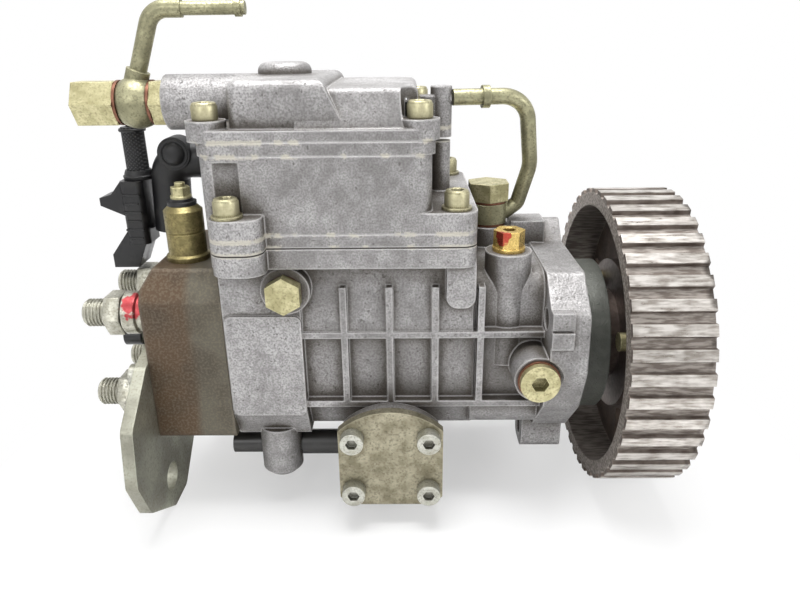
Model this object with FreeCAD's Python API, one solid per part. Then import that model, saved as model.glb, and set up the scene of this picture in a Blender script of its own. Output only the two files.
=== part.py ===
import FreeCAD, Part
import math
import os

# Axial-piston distributor injection pump for a diesel engine, in millimetres.
# The origin is the centre of the mounting flange's front face, on the drive shaft's axis.
# X runs along the shaft towards the belt sprocket, Y to the far side, Z up.

V = FreeCAD.Vector
os.makedirs("parts", exist_ok=True)

# Clearances
fit_gap = 0.05
seat_gap = 0.1
run_gap = 0.4

# Lengths that most others follow
body_length = 145.2
deck_half_y = 42.0

# Belt sprocket
tooth_count = 44
belt_pitch = 9.525
tooth_depth = 2.1
belt_line = 0.5
sprocket_back = 12.3
sprocket_width = 31.5
rim_wall = 5.6
web_inset = 16.7
web_thickness = 7.0
window_count = 3
window_angle = 74.0
window_margin = 3.0

# Drive shaft and hub
shaft_r = 10.0
shaft_nose_r = 7.6
thread_r = 6.0
claw_r = 12.8
claw_inner = 5.0
claw_half_w = 4.4
hub_start_x = 15.5
hub_r = 34.0
hub_boss_r = 20.0
hub_flange_t = 7.0
hub_bolt_circle_r = 27.5
hub_bolt_r = 4.0
hub_bolt_flats = 13.0
hub_washer_t = 2.5
nut_flats = 24.0
nut_height = 9.0

# Mounting flange and pilot: (y, z) points of a flat-topped near ear, low lug and far ear
flange_t = 15.0
pilot_r = 34.0
pilot_length = 14.0
flange_outline = [
    (-33.0, 41.0), (-49.5, 28.0), (-51.5, 5.0), (-44.0, -14.0), (-25.0, -34.0),
    (3.0, -41.0), (25.0, -34.0), (44.0, -14.0),
    (51.5, 5.0), (49.5, 28.0), (36.0, 44.0), (20.0, 50.0), (10.0, 41.0),
]
flange_corner = 4.5
low_lug = (-18.5, -0.5, -20.0, -3.0, -50.5, -30.0)
flange_pads = [(15.6, -52.0), (23.4, -51.0)]
pad_size = 7.0
pad_run = pad_size + 1.6
pad_width = 12.0
ear_hole_r = 4.5
ear_holes = [(-39.0, 23.4), (-10.6, -42.7), (39.0, 23.4)]
ear_hole_run = 5.0
seal_r = 16.0
seal_width = 8.0
seal_inset = 2.0

# Pump housing
deck_z = 54.0
deck_lip = 7.0
wall_y = 34.0
rib_y = 38.0
rib_width = 2.7
rib_pitch = 0.1274 * body_length
rib_count = 5
rib_first_x = -0.8003 * body_length
column_right_x = rib_first_x + rib_width
column_pad_rise = 1.2
column_pad_z = (-20.5, 25.0)
rib_band_z = 16.0
low_step_z = -rib_band_z - 4.0
column_low_z = -rib_band_z - 5.0
low_rail_z = -17.2
rib_top_z = 36.7
panel_sink = 0.8
body_bottom_z = -31.0
step_x = -0.2961 * body_length
nose_top_z = 40.0
chamber_r = 28.0
ring_bore_r = 25.0
ring_bore_start_x = -0.6198 * body_length
pump_bore_r = 24.0
pump_bore_start_x = -0.427 * body_length
pump_end_x = -0.303 * body_length
bush_r = 12.5
bush_length = 30.0

# Bosses and plugs of the housing
near_plug_x = -18.6
near_plug_y = -49.5
near_plug_z = 1.5
near_plug_boss_r = 9.6
near_plug_r = 7.0
near_plug_head_r = 7.8
plug_washer_t = 1.1
near_plug_socket_flats = 6.0
near_plug_head_w = 3.1
hex_plug_head_w = 5.5
hex_plug_x = -0.8182 * body_length
hex_plug_y = -39.6
hex_plug_z = 36.0
hex_plug_boss_r = 9.8
hex_plug_r = 5.0
hex_plug_flats = 13.2
plug_depth = 12.0
valve_boss_x = -29.4
valve_boss_y = -25.0
valve_boss_z = 48.0
valve_boss_r = 9.4
valve_shank_r = 5.0
valve_shank = 20.0
banjo_x = -0.2342 * body_length
banjo_y = 13.0
banjo_seat_z = 49.0
banjo_boss_r = 9.5
hollow_bolt_r = 5.0
hollow_bolt_depth = 14.0
inlet_x = -32.0
inlet_y = 43.0
inlet_z = 8.0
inlet_r = 6.0
inlet_boss_r = 10.0
inlet_depth = 12.0
foot_boss_x = -0.8815 * body_length
foot_boss_y = -27.0
foot_boss_r = 9.0
foot_boss_low_z = -55.0
foot_boss_round = 2.5
boss_root_z = 30.0
far_lug_y = (8.0, 22.0)
tab_width = 11.5
tab_low_z = 28.0
tab_rise = 0.8
tab_round = 4.5
far_lug_x = -23.8
far_lug_length = 15.3
far_lug_z = 51.0

# Hydraulic head
head_length = 33.3
head_half_y = 38.0
head_half_z = 32.3
head_top_z = 42.5
spigot_length = 5.0
valve_offset = 19.3
valve_reach = 30.9
valve_thread_r = 6.0
valve_thread_length = 10.0
valve_hex_w = 8.0
valve_collar = (17.6, 24.0)
valve_bore_r = 1.6
valve_mouth_r = 3.6
valve_pocket_r = 4.0
valve_flats = 17.0
valve_neck_r = 8.2
valve_shank_outer_r = 7.0
valve_seat_depth = 20.0
barrel_r = 12.0
barrel_reach = 15.0
plug_seat = 3.0
cap_reach = 21.0
cap_r = 4.8
cap_bore_r = 3.0
plunger_r = 5.0
solenoid_x = -body_length - 18.1
solenoid_y = -15.0
solenoid_r = 7.9
solenoid_height = 23.0
solenoid_shank_r = 6.0
solenoid_depth = 14.0
armature_r = 3.1

# Rear bracket: (y, z) points of the plate, its engine hole and its two screws
bracket_t = 5.0
bracket_outline = [
    (-24.0, 8.0), (-41.0, 3.0), (-62.5, -14.0), (-66.5, -38.0), (-58.5, -56.0),
    (-33.0, -72.0), (-17.0, -72.0), (2.0, -56.0), (8.0, -24.0),
]
bracket_corner = 5.0
bracket_hole = (-32.0, -56.5)
bracket_hole_r = 6.5
bracket_screws = [(-32.5, -4.5), (-3.5, -27.0)]
bracket_screw_r = 3.0
bracket_head_r = 5.0
bracket_head_w = 5.0
bracket_socket_depth = 2.5

# Cam drive and distributor
roller_count = 4
roller_r = 6.0
roller_x = -0.5647 * body_length
roller_inner_r = 16.0
roller_outer_r = 22.6
pocket_outer_r = 23.4
roller_pin_r = 2.0
ring_x0 = roller_x - 2.0
ring_x1 = roller_x + 12.0
ring_inner_r = 15.0
cam_disc_t = 6.0
cam_rise = 4.0
cam_nose_r = 12.0
foot_t = 3.0
yoke_t = 2.6
spring_offset = 19.5
spring_wire_r = 0.9
spring_mean_r = 4.3
spring_turns = 6
coil_steps = 12
wire_sides = 6

# Vane feed pump
pump_ring_inner_r = 20.0
rotor_r = 17.6
ring_offset = 1.8
vane_count = 4
vane_t = 2.4
vane_inner_r = 11.0
rotor_width = 11.0
pump_cover_t = 2.5

# Timing device, crosswise under the shaft
timing_x = -0.5372 * body_length
timing_z = -37.75
piston_r = 11.0
piston_length = 52.0
piston_start_y = -34.0
ring_pin_r = 4.0
pin_wall = ring_pin_r + 6.0
slot_half_w = 4.6
ring_slot_half = 14.0
pin_tilt = 2.6
slot_lead = 0.7
tunnel_half = 46.0
tunnel_half_w = 17.0
timing_flange_t = 7.0
timing_cover_t = 4.0
timing_plate_w = 43.6
timing_plate_low_z = -58.3
timing_plate_top_z = -13.0
timing_arch = 9.0
timing_corner = 4.0
timing_screw_dx = 15.8
timing_screw_dz = 12.7
timing_screw_r = 2.5
timing_head_r = 4.8
timing_head_h = 5.0
timing_socket_flats = 4.4
timing_socket_depth = 2.4
timing_screw_depth = 9.0
advance_angle = 12.0
magnet_valve_y = -24.0
magnet_valve_z = -43.4
magnet_valve_r = 5.6
magnet_tail_r = 4.8
magnet_tail = 13.0

# Quantity adjuster on the deck
adjuster_x = -0.823 * body_length
rotor_shaft_r = 4.0
rotor_hole_r = 11.0
rotor_iron_r = 12.0
yoke_left = 20.0
yoke_right = 34.0
yoke_half_y = 24.0
lane_left = 17.0
lane_right = 30.0
lane_half_y = 16.0
coil_gap = 0.2
eccentric = 2.5
pin_r = 2.5
collar_r = 11.0
collar_width = 12.0
gasket_t = 0.6
spacer_t = 5.0
foot_plate_t = 8.0
adjuster_height = 29.4
band_t = 5.0
deck_left_x = -body_length - 2.0
deck_right_x = -0.2996 * body_length
box_right_x = -0.4201 * body_length
box_wall = 5.0
deck_screws = [(-body_length + 8.5, deck_half_y + 4.0), (deck_right_x - 8.0, deck_half_y - 7.0)]
deck_screw_r = 3.0
deck_screw_depth = 5.0
deck_washer_t = 1.2
screw_head_r = 4.8
screw_head_h = 6.3
screw_chamfer = 0.6
screw_socket_flats = 4.6
screw_socket_depth = 3.2
screw_relief = 1.5
cover_relief = 2.2
washer_rise = 1.0
vent_x = box_right_x + 4.8
vent_column_r = 4.0

# Top cover
cover_base_t = 4.2
cover_post_h = 7.4
cover_post_r = 7.4
cover_screw_x = (deck_left_x + 3.2, box_right_x - 4.5)
cover_screw_y = deck_half_y - 7.5
cover_screw_r = 2.9
block_left_x = -body_length + 9.8
block_top_x = -0.6942 * body_length
block_foot_x = block_top_x + 9.3
block_overlap = 10.0
block_flare = 5.0
vent_column_rise = 4.6
vent_web_half = 3.4
block_half_y = deck_half_y - 4.0
block_top_z = 115.2
low_block_x = box_right_x - 5.0
low_block_half_y = deck_half_y - 8.0
low_block_top_z = 112.0
dome_r = 10.8
dome_z = 120.0
cover_wall = 4.0
return_z = 104.8
return_boss_r = 11.0
return_boss_x = -body_length - 22.9

# Return fitting, vent pipe and their pipes
return_nut_w = 5.6
banjo_width = 12.4
banjo_ball_r = 10.4
copper_t = 1.2
return_cap_w = 16.9
return_flats = 17.0
return_bolt_r = 5.5
pipe_r = 3.4
hose_r = 2.6
pipe_top_z = dome_z + 20.2
pipe_lean = 10.5
pipe_bend = 8.5
nipple_end_x = return_boss_x + 34.7
nipple_length = 25.0
vent_pipe_r = 3.3
vent_z = 105.6
vent_eye_r = 8.6
vent_eye_h = 8.8
vent_bolt_flats = 17.0
vent_bolt_head_w = 8.0
vent_bends = [12.0, 16.0, 3.5]
vent_low_z = (76.0, 58.5)
vent_bead = (12.2, 15.2)

# Harness
elbow_x = -body_length - 33.1
elbow_y = 20.0
elbow_r = 8.6
elbow_top_z = 78.5
elbow_low_z = 46.0
elbow_bend = 9.5
disc_centre = (elbow_x + 5.3, 82.0)
disc_r = 7.2
connector_box = (elbow_x - 21.2, elbow_x - 10.9, 41.0, 70.0)
connector_y = (9.5, 25.5)
hood_outline = [(15.7, 52.0), (31.2, 59.0), (31.2, 62.5), (25.7, 64.0), (20.7, 70.0), (15.7, 70.0)]
lower_outline = [(29.2, 29.8), (17.7, 29.8), (12.7, 41.5), (12.7, 47.0), (20.7, 47.0), (29.2, 36.0)]
sleeve_place = (elbow_x - 14.3, 18.0)
sleeve_r = 4.9
sleeve_top_z = 93.0
lead_r = 2.6
lead_y = 33.5
lead_rise = (7.5, 5.0)
lead_run = 24.6
lead_bends = [7.0, 9.0]

# Values worked out from the sizes above
pitch_r = tooth_count * belt_pitch / (2 * math.pi)
rim_r = pitch_r - belt_line
root_r = rim_r - tooth_depth
rim_inner_r = root_r - rim_wall
web_back = sprocket_back + web_inset
web_front = web_back + web_thickness
washer_front = web_front + hub_washer_t
thread_end = washer_front + nut_height + 2.0
head_x = -body_length
head_end_x = head_x - head_length
seal_x = pilot_length - seal_inset - seal_width
cam_peak_x = roller_x - roller_r - run_gap
cam_face_x = cam_peak_x - cam_rise
cam_back_x = cam_face_x - cam_disc_t
plunger_foot_x = cam_back_x - foot_t
yoke_x = plunger_foot_x - run_gap - yoke_t
coupling_x0 = cam_face_x + 6.4
coupling_x1 = coupling_x0 + 6.8
ring_start_x = pump_end_x - rotor_width
pump_cover_x = ring_start_x - pump_cover_t
piston_travel = math.radians(advance_angle) * -timing_z
return_nut_x = return_boss_x - return_nut_w
return_eye_x = return_nut_x - copper_t - banjo_width
return_cap_x = return_eye_x - copper_t - return_cap_w
spacer_z = deck_z + gasket_t
adjuster_z = spacer_z + spacer_t
foot_top_z = adjuster_z + foot_plate_t
band_z = adjuster_z + adjuster_height
lead_end_z = band_z - 7.0
cover_z = band_z + band_t
cover_seat_z = cover_z + cover_post_h
X_AXIS = V(1, 0, 0)
Y_AXIS = V(0, 1, 0)
Z_AXIS = V(0, 0, 1)


def block(x0, x1, y0, y1, z0, z1):
    """A box between two corners."""
    return Part.makeBox(x1 - x0, y1 - y0, z1 - z0, V(x0, y0, z0))


def rod_x(x0, x1, radius, y=0.0, z=0.0):
    """A round bar along X."""
    return Part.makeCylinder(radius, x1 - x0, V(x0, y, z), X_AXIS)


def rod_y(y0, y1, radius, x=0.0, z=0.0):
    """A round bar along Y."""
    return Part.makeCylinder(radius, y1 - y0, V(x, y0, z), Y_AXIS)


def rod_z(z0, z1, radius, x=0.0, y=0.0):
    """A round bar along Z."""
    return Part.makeCylinder(radius, z1 - z0, V(x, y, z0), Z_AXIS)


def prism(points, travel):
    """A closed outline of vectors, pushed along a vector."""
    wire = Part.makePolygon(points + [points[0]])
    return Part.Face(wire).extrude(travel)


def hex_bar(centre, direction, flats, length, turn=0.0):
    """A hexagonal bar from a centre point along X, Y or Z."""
    corner = flats / math.sqrt(3)
    points = []
    for i in range(6):
        a = math.radians(turn + 60 * i)
        u = corner * math.cos(a)
        w = corner * math.sin(a)
        if direction.x:
            offset = V(0, u, w)
        elif direction.y:
            offset = V(u, 0, w)
        else:
            offset = V(u, w, 0)
        points.append(centre + offset)
    return prism(points, direction * length)


def ring_x(x0, x1, outer, inner, y=0.0, z=0.0):
    """A round ring along X."""
    return rod_x(x0, x1, outer, y, z).cut(rod_x(x0 - 1, x1 + 1, inner, y, z))


def ring_y(y0, y1, outer, inner, x, z):
    """A round ring along Y."""
    return rod_y(y0, y1, outer, x, z).cut(rod_y(y0 - 1, y1 + 1, inner, x, z))


def ring_z(z0, z1, outer, inner, x, y):
    """A round ring along Z."""
    return rod_z(z0, z1, outer, x, y).cut(rod_z(z0 - 1, z1 + 1, inner, x, y))


def rounded_edges(shape, radius, wanted):
    """Round the edges that the test picks."""
    edges = [e for e in shape.Edges if wanted(e)]
    return shape.makeFillet(radius, edges)


def runs_along(edge, axis):
    """True for a straight edge parallel to an axis."""
    if len(edge.Vertexes) != 2:
        return False
    line = edge.Vertexes[1].Point.sub(edge.Vertexes[0].Point)
    straight = abs(edge.Length - line.Length) < 1e-6
    return straight and abs(abs(line.dot(axis)) - line.Length) < 1e-6


def rounded_block(x0, x1, y0, y1, z0, z1, radius, axis):
    """A box with the four edges along one axis rounded."""
    return rounded_edges(block(x0, x1, y0, y1, z0, z1), radius, lambda e: runs_along(e, axis))


def mirrored(shape):
    """The shape and its mirror image across the shaft's upright plane."""
    return [shape, shape.mirror(V(0, 0, 0), Y_AXIS)]


def revolve_z(profile, x, y):
    """Turn (z, radius) points about an upright axis."""
    points = [V(x + r, y, z) for z, r in profile]
    wire = Part.makePolygon(points + [points[0]])
    return Part.Face(wire).revolve(V(x, y, 0), Z_AXIS, 360)


def bar(a, b, radius):
    """A round bar between two points."""
    line = b.sub(a)
    return Part.makeCylinder(radius, line.Length, a, line)


def tube(points, radius, radii):
    """A round bar along straight runs joined by tangent arcs, one radius per inner point."""
    pieces = []
    start = points[0]
    for i in range(1, len(points) - 1):
        into = points[i].sub(points[i - 1]).normalize()
        out = points[i + 1].sub(points[i]).normalize()
        turn = math.acos(max(-1, min(1, into.dot(out))))
        reach = radii[i - 1] * math.tan(turn / 2)
        a = points[i].sub(into * reach)
        centre = points[i].add(out.sub(into).normalize() * (radii[i - 1] / math.cos(turn / 2)))
        disc = Part.Face(Part.Wire([Part.makeCircle(radius, a, into)]))
        pieces.append(bar(start, a, radius))
        pieces.append(disc.revolve(centre, into.cross(out), math.degrees(turn)))
        start = points[i].add(out * reach)
    pieces.append(bar(start, points[-1], radius))
    return pieces[0].fuse(pieces[1:])


def coil(foot, axis, mean_r, wire_r, length, turns):
    """A helical spring with flat-sided wire that stands on a point along an axis."""
    rings = []
    steps = turns * coil_steps
    for i in range(steps + 1):
        a = 2 * math.pi * i / coil_steps
        out = V(math.cos(a), math.sin(a), 0)
        middle = out * mean_r + V(0, 0, wire_r + (length - 2 * wire_r) * i / steps)
        ring = []
        for k in range(wire_sides):
            b = 2 * math.pi * (k + 0.5) / wire_sides
            ring.append(middle + out * (wire_r * math.cos(b)) + V(0, 0, wire_r * math.sin(b)))
        rings.append(ring)
    faces = [Part.Face(Part.makePolygon(ring + [ring[0]])) for ring in (rings[0], rings[-1])]
    for near, far in zip(rings, rings[1:]):
        for k in range(wire_sides):
            n = (k + 1) % wire_sides
            for corners in ((near[k], near[n], far[k]), (near[n], far[n], far[k])):
                faces.append(Part.Face(Part.makePolygon(list(corners) + [corners[0]])))
    spring = Part.Solid(Part.Shell(faces))
    spring.Placement = FreeCAD.Placement(foot, FreeCAD.Rotation(Z_AXIS, axis))
    return spring


def save(name, solids):
    """Write one sub-part, a solid or a group of separate solids."""
    if not isinstance(solids, list):
        solids = [solids]
    shape = solids[0] if len(solids) == 1 else Part.makeCompound(solids)
    shape.exportStep("parts/" + name + ".step")
    count = len(shape.Solids)
    print(name, count, round(shape.Volume, 1), shape.isValid())


def polar(radius, degrees):
    """The (y, z) place at a radius and angle in the plane across the shaft."""
    a = math.radians(degrees)
    return radius * math.cos(a), radius * math.sin(a)


def flange():
    """The mounting flange with its two raised pads and its pilot."""
    plate = prism([V(-flange_t, y, z) for y, z in flange_outline], V(flange_t, 0, 0))
    plate = rounded_edges(plate, flange_corner, lambda e: runs_along(e, X_AXIS))
    pads = []
    for z0, y0 in flange_pads:
        pads.append(block(-flange_t, -flange_t + pad_run, y0, y0 + pad_width, z0, z0 + pad_size))
    lug = rounded_block(*low_lug, flange_corner, X_AXIS)
    return plate.fuse(pads + [lug, rod_x(-1.0, pilot_length, pilot_r)])


def near_ribs():
    """The rib grid on one long side: uprights, two long rails and sloped upper panels."""
    inner = -wall_y + 1.0
    top_z = deck_z - deck_lip
    pieces = []
    for i in range(rib_count):
        x = rib_first_x + i * rib_pitch
        pieces.append(block(x, x + rib_width, -rib_y, inner, low_rail_z + 1, rib_top_z))
    for z in (low_rail_z, rib_band_z - rib_width / 2):
        pieces.append(block(column_right_x - 1, -flange_t + 1, -rib_y, inner, z, z + rib_width))
    slope = [
        V(column_right_x - 1, inner, rib_band_z),
        V(column_right_x - 1, -rib_y + panel_sink, rib_band_z),
        V(column_right_x - 1, -wall_y, top_z - deck_lip),
        V(column_right_x - 1, inner, top_z - deck_lip),
    ]
    pieces.append(prism(slope, V(step_x - column_right_x, 0, 0)))
    return pieces


def deck_shape(z0, z1):
    """The plan outline that the deck, the gasket, the spacer and the adjuster's foot share."""
    main = rounded_block(deck_left_x, deck_right_x, -deck_half_y, deck_half_y, z0, z1, 6.0, Z_AXIS)
    x, y = deck_screws[0]
    lobe = rounded_block(x - 7.4, x + 12.6, -y - 6.0, y + 6.0, z0, z1, 7.0, Z_AXIS)
    return main.fuse(lobe)


def deck_screw_places():
    """The (x, y) centres of the four screws that hold the adjuster down."""
    return [(x, side * y) for x, y in deck_screws for side in (-1, 1)]


def cover_screw_places():
    """The (x, y) centres of the four screws of the top cover."""
    return [(x, side * cover_screw_y) for x in cover_screw_x for side in (-1, 1)]


def timing_screw_places():
    """The (x, z) centres of the four screws of a timing cover."""
    places = []
    for dx in (-timing_screw_dx, timing_screw_dx):
        for dz in (-timing_screw_dz, timing_screw_dz):
            places.append((timing_x + dx, timing_z + dz))
    return places


def valve_places():
    """The (y, z) centres of the four outlets."""
    return [(y, z) for y in (-valve_offset, valve_offset) for z in (-valve_offset, valve_offset)]


def timing_plate(y0, y1, shrink):
    """The arched outline shared by the timing covers and their seats."""
    low = timing_plate_low_z + shrink
    top = timing_plate_top_z - shrink
    half = timing_plate_w / 2 - shrink
    shoulder = top - timing_arch
    left = timing_x - half
    right = timing_x + half
    arc = Part.Arc(V(left, y0, shoulder), V(timing_x, y0, top), V(right, y0, shoulder)).toShape()
    path = [
        V(right, y0, shoulder), V(right, y0, low + timing_corner), V(right - timing_corner, y0, low),
        V(left + timing_corner, y0, low), V(left, y0, low + timing_corner), V(left, y0, shoulder),
    ]
    edges = [arc]
    for a, b in zip(path, path[1:]):
        edges.append(Part.LineSegment(a, b).toShape())
    return Part.Face(Part.Wire(edges)).extrude(V(0, y1 - y0, 0))


def housing_bosses():
    """Everything that stands out of the casting's walls."""
    column = rounded_block(
        head_x, column_right_x, -rib_y, rib_y, column_low_z, deck_z - deck_lip, 3.0, X_AXIS)
    low_points = [(-rib_y, low_step_z), (-wall_y + 3, body_bottom_z - 3),
                  (wall_y - 3, body_bottom_z - 3), (rib_y, low_step_z)]
    low = prism([V(head_x, y, z) for y, z in low_points], V(column_right_x - head_x, 0, 0))
    pad = rounded_block(
        head_x + 0.6, column_right_x, -rib_y - column_pad_rise, -rib_y + 4, *column_pad_z, 3.0, Y_AXIS)
    pieces = [column, low, pad]
    foot = [(foot_boss_low_z, 0), (foot_boss_low_z, foot_boss_r - foot_boss_round),
            (foot_boss_low_z + foot_boss_round, foot_boss_r), (body_bottom_z, foot_boss_r),
            (body_bottom_z, 0)]
    pieces.append(revolve_z(foot, foot_boss_x, foot_boss_y))
    pieces.append(rod_z(0.0, valve_boss_z, valve_boss_r, valve_boss_x, valve_boss_y))
    pieces.append(rod_z(boss_root_z, banjo_seat_z, banjo_boss_r, banjo_x, banjo_y))
    pieces.append(block(far_lug_x, far_lug_x + far_lug_length, *far_lug_y, boss_root_z, far_lug_z))
    pieces.append(rod_y(near_plug_y, -wall_y + 6, near_plug_boss_r, near_plug_x, near_plug_z))
    pieces.append(rod_y(hex_plug_y, -wall_y + 4, hex_plug_boss_r, hex_plug_x, hex_plug_z))
    tab = rounded_block(
        deck_right_x - tab_width, deck_right_x, -rib_y - tab_rise, -wall_y + 2, tab_low_z, deck_z - 4,
        tab_round, Y_AXIS)
    pieces.append(tab)
    pieces.append(rod_y(wall_y - 4, inlet_y, inlet_boss_r, inlet_x, inlet_z))
    tunnel = rounded_block(
        timing_x - tunnel_half_w, timing_x + tunnel_half_w, -tunnel_half + 1, tunnel_half - 1,
        timing_z - tunnel_half_w, body_bottom_z + 6, 5.0, Y_AXIS)
    pieces.append(tunnel)
    for y0 in (-tunnel_half, tunnel_half - timing_flange_t):
        pieces.append(timing_plate(y0, y0 + timing_flange_t, 1.6))
    return pieces


def housing_cuts():
    """The bores and threaded holes of the casting."""
    boss_x0 = foot_boss_x - foot_boss_r - 1
    boss_x1 = foot_boss_x + foot_boss_r + 1
    cuts = [
        rod_x(head_x - 1, ring_bore_start_x, chamber_r),
        rod_x(boss_x0, boss_x1, magnet_tail_r + fit_gap, magnet_valve_y, magnet_valve_z),
        rod_x(ring_bore_start_x - 1, pump_bore_start_x, ring_bore_r),
        rod_x(pump_bore_start_x - 1, pump_end_x, pump_bore_r),
        rod_x(pump_end_x - 1, seal_x + 1, bush_r),
        rod_x(seal_x, pilot_length + 1, seal_r),
        rod_y(-tunnel_half - 1, tunnel_half + 1, piston_r + fit_gap, timing_x, timing_z),
        block(timing_x - slot_half_w, timing_x + slot_half_w, -ring_slot_half, ring_slot_half,
              timing_z, -ring_bore_r + 5),
        rod_z(chamber_r - 6, deck_z + 1, rotor_hole_r, adjuster_x, 0.0),
        rod_z(valve_boss_z - valve_shank, valve_boss_z + 1, valve_shank_r, valve_boss_x, valve_boss_y),
        rod_z(banjo_seat_z - hollow_bolt_depth, banjo_seat_z + 1, hollow_bolt_r, banjo_x, banjo_y),
        rod_y(near_plug_y - 1, near_plug_y + plug_depth, near_plug_r, near_plug_x, near_plug_z),
        rod_y(near_plug_y - 8, near_plug_y, near_plug_boss_r, near_plug_x, near_plug_z),
        rod_y(hex_plug_y - 1, hex_plug_y + plug_depth, hex_plug_r, hex_plug_x, hex_plug_z),
        rod_y(inlet_y - inlet_depth, inlet_y + 1, inlet_r, inlet_x, inlet_z),
    ]
    for y, z in ear_holes:
        cuts.append(rod_x(-flange_t - ear_hole_run, 1, ear_hole_r, y, z))
    for x, y in deck_screw_places():
        cuts.append(rod_z(deck_z - deck_screw_depth, deck_z + 1, deck_screw_r, x, y))
    for x, z in timing_screw_places():
        for y0 in (-tunnel_half - 1, tunnel_half - timing_screw_depth + timing_cover_t):
            cuts.append(rod_y(y0, y0 + timing_screw_depth - timing_cover_t + 1, timing_screw_r, x, z))
    return cuts


def pump_housing():
    """The ribbed aluminium casting that carries everything."""
    lip = deck_z - deck_lip
    profile = [
        (-wall_y, lip), (-wall_y, -rib_band_z), (-wall_y + 7, body_bottom_z),
        (wall_y - 7, body_bottom_z), (wall_y, -rib_band_z), (wall_y, lip),
    ]
    main = prism([V(head_x, y, z) for y, z in profile], V(step_x - head_x, 0, 0))
    nose = rounded_block(
        step_x - 1, -flange_t + 1, -wall_y + 1, wall_y - 1, body_bottom_z, nose_top_z, 9.0, X_AXIS)
    deck = deck_shape(deck_z - deck_lip - 1, deck_z)
    pieces = [nose, flange(), deck]
    for side in mirrored(Part.makeCompound(near_ribs())):
        pieces += side.Solids
    return main.fuse(pieces + housing_bosses()).cut(housing_cuts())


def hydraulic_head():
    """The steel block with the barrel bore, four outlets and the solenoid's seat."""
    shoulder_z = head_half_z - 2
    profile = [
        (-head_half_y, -head_half_z), (-head_half_y, shoulder_z), (-head_half_y + 8, head_top_z),
        (head_half_y - 8, head_top_z), (head_half_y, shoulder_z), (head_half_y, -head_half_z),
    ]
    main = prism([V(head_end_x, y, z) for y, z in profile], V(head_length, 0, 0))
    main = rounded_edges(main, 2.5, lambda e: runs_along(e, X_AXIS))
    start_y = -head_half_y - 1
    corner = [V(head_end_x - 1, start_y, head_top_z + 1), V(head_end_x + 5, start_y, head_top_z + 1),
              V(head_end_x - 1, start_y, head_top_z - 9)]
    main = main.cut(prism(corner, V(0, -2 * start_y, 0)))
    spigot = rod_x(head_x - 1, head_x + spigot_length, chamber_r - fit_gap)
    cuts = [rod_x(head_end_x - 1, head_x + spigot_length + 1, barrel_r)]
    for y, z in valve_places():
        cuts.append(rod_x(head_end_x - 1, head_end_x + valve_seat_depth, valve_shank_outer_r, y, z))
    cuts.append(rod_z(head_top_z - solenoid_depth, head_top_z + 1, solenoid_shank_r,
                      solenoid_x, solenoid_y))
    for y, z in bracket_screws:
        cuts.append(rod_x(head_end_x - 1, head_end_x + 9, bracket_screw_r, y, z))
    return main.fuse(spigot).cut(cuts)


def plunger_barrel():
    """The sleeve that the plunger runs in."""
    return ring_x(head_end_x + plug_seat, head_x + barrel_reach, barrel_r, plunger_r + fit_gap)


def central_plug():
    """The screw plug that closes the barrel's bore, with a stem for its cap."""
    hexagon = hex_bar(V(head_end_x - 6, 0, 0), X_AXIS, valve_flats, 6.0)
    seat = rod_x(head_end_x, head_end_x + plug_seat, barrel_r)
    return hexagon.fuse([seat, rod_x(head_end_x - cap_reach, head_end_x - 5, cap_bore_r)])


def plug_cap():
    """The black cap on the central plug's stem."""
    x0 = head_end_x - cap_reach
    return rod_x(x0 - 3.0, x0 + 5.0, cap_r).cut(rod_x(x0, x0 + 6.0, cap_bore_r))


def delivery_holder(y, z):
    """One outlet: thread, hexagon, collar, neck and the part inside the head."""
    tip = head_end_x - valve_reach
    inner_end = head_end_x + valve_seat_depth - 2
    hexagon = hex_bar(V(tip + valve_thread_length - 0.2, y, z), X_AXIS, valve_flats, valve_hex_w)
    body = hexagon.fuse([
        rod_x(tip, tip + valve_thread_length, valve_thread_r, y, z),
        rod_x(tip + valve_collar[0], tip + valve_collar[1], valve_neck_r + 1.2, y, z),
        rod_x(tip + valve_collar[1] - 0.2, head_end_x - copper_t, valve_neck_r, y, z),
        rod_x(head_end_x - copper_t - seat_gap, inner_end, valve_shank_outer_r, y, z),
    ])
    return body.cut([
        rod_x(tip - 1, tip + valve_collar[1], valve_bore_r, y, z),
        Part.makeCone(valve_mouth_r, valve_bore_r, 3.5, V(tip, y, z), X_AXIS),
        rod_x(tip + valve_collar[1] - 1, inner_end + 1, valve_pocket_r, y, z),
    ])


def delivery_valve(y, z):
    """The small valve and seat that close an outlet between strokes."""
    seat_x = head_end_x + valve_seat_depth
    stem = rod_x(seat_x - 8.0, seat_x - 1.9, 2.6, y, z)
    return rod_x(seat_x - 2.0, seat_x, valve_shank_outer_r, y, z).fuse(stem)


def holder_washer(y, z):
    """The copper washer under a holder's neck."""
    return ring_x(head_end_x - copper_t, head_end_x, valve_neck_r + 1, valve_shank_outer_r, y, z)


def cutoff_solenoid():
    """The fuel cut-off's magnet body, screwed into the head's top."""
    z0 = head_top_z
    top = z0 + solenoid_height
    r = solenoid_r
    body = revolve_z([
        (z0, 0), (z0, r + 1), (z0 + 2.0, r + 1), (z0 + 2.8, r), (z0 + 11.6, r), (z0 + 12.0, r - 0.4),
        (z0 + 12.4, r), (top - 2, r), (top, r - 2), (top, 0),
    ], solenoid_x, solenoid_y)
    shank = rod_z(z0 - solenoid_depth + 6, z0 + 0.1, solenoid_shank_r, solenoid_x, solenoid_y)
    bore = rod_z(z0 - solenoid_depth, z0 + 12, armature_r + 0.1, solenoid_x, solenoid_y)
    return body.fuse(shank).cut(bore)


def solenoid_insulator():
    """Two black washers on the cut-off's top."""
    z0 = head_top_z + solenoid_height
    low = ring_z(z0, z0 + 1.6, solenoid_r - 2, 2.2, solenoid_x, solenoid_y)
    return low.fuse(ring_z(z0 + 1.5, z0 + 2.8, solenoid_r - 3.4, 2.2, solenoid_x, solenoid_y))


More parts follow.
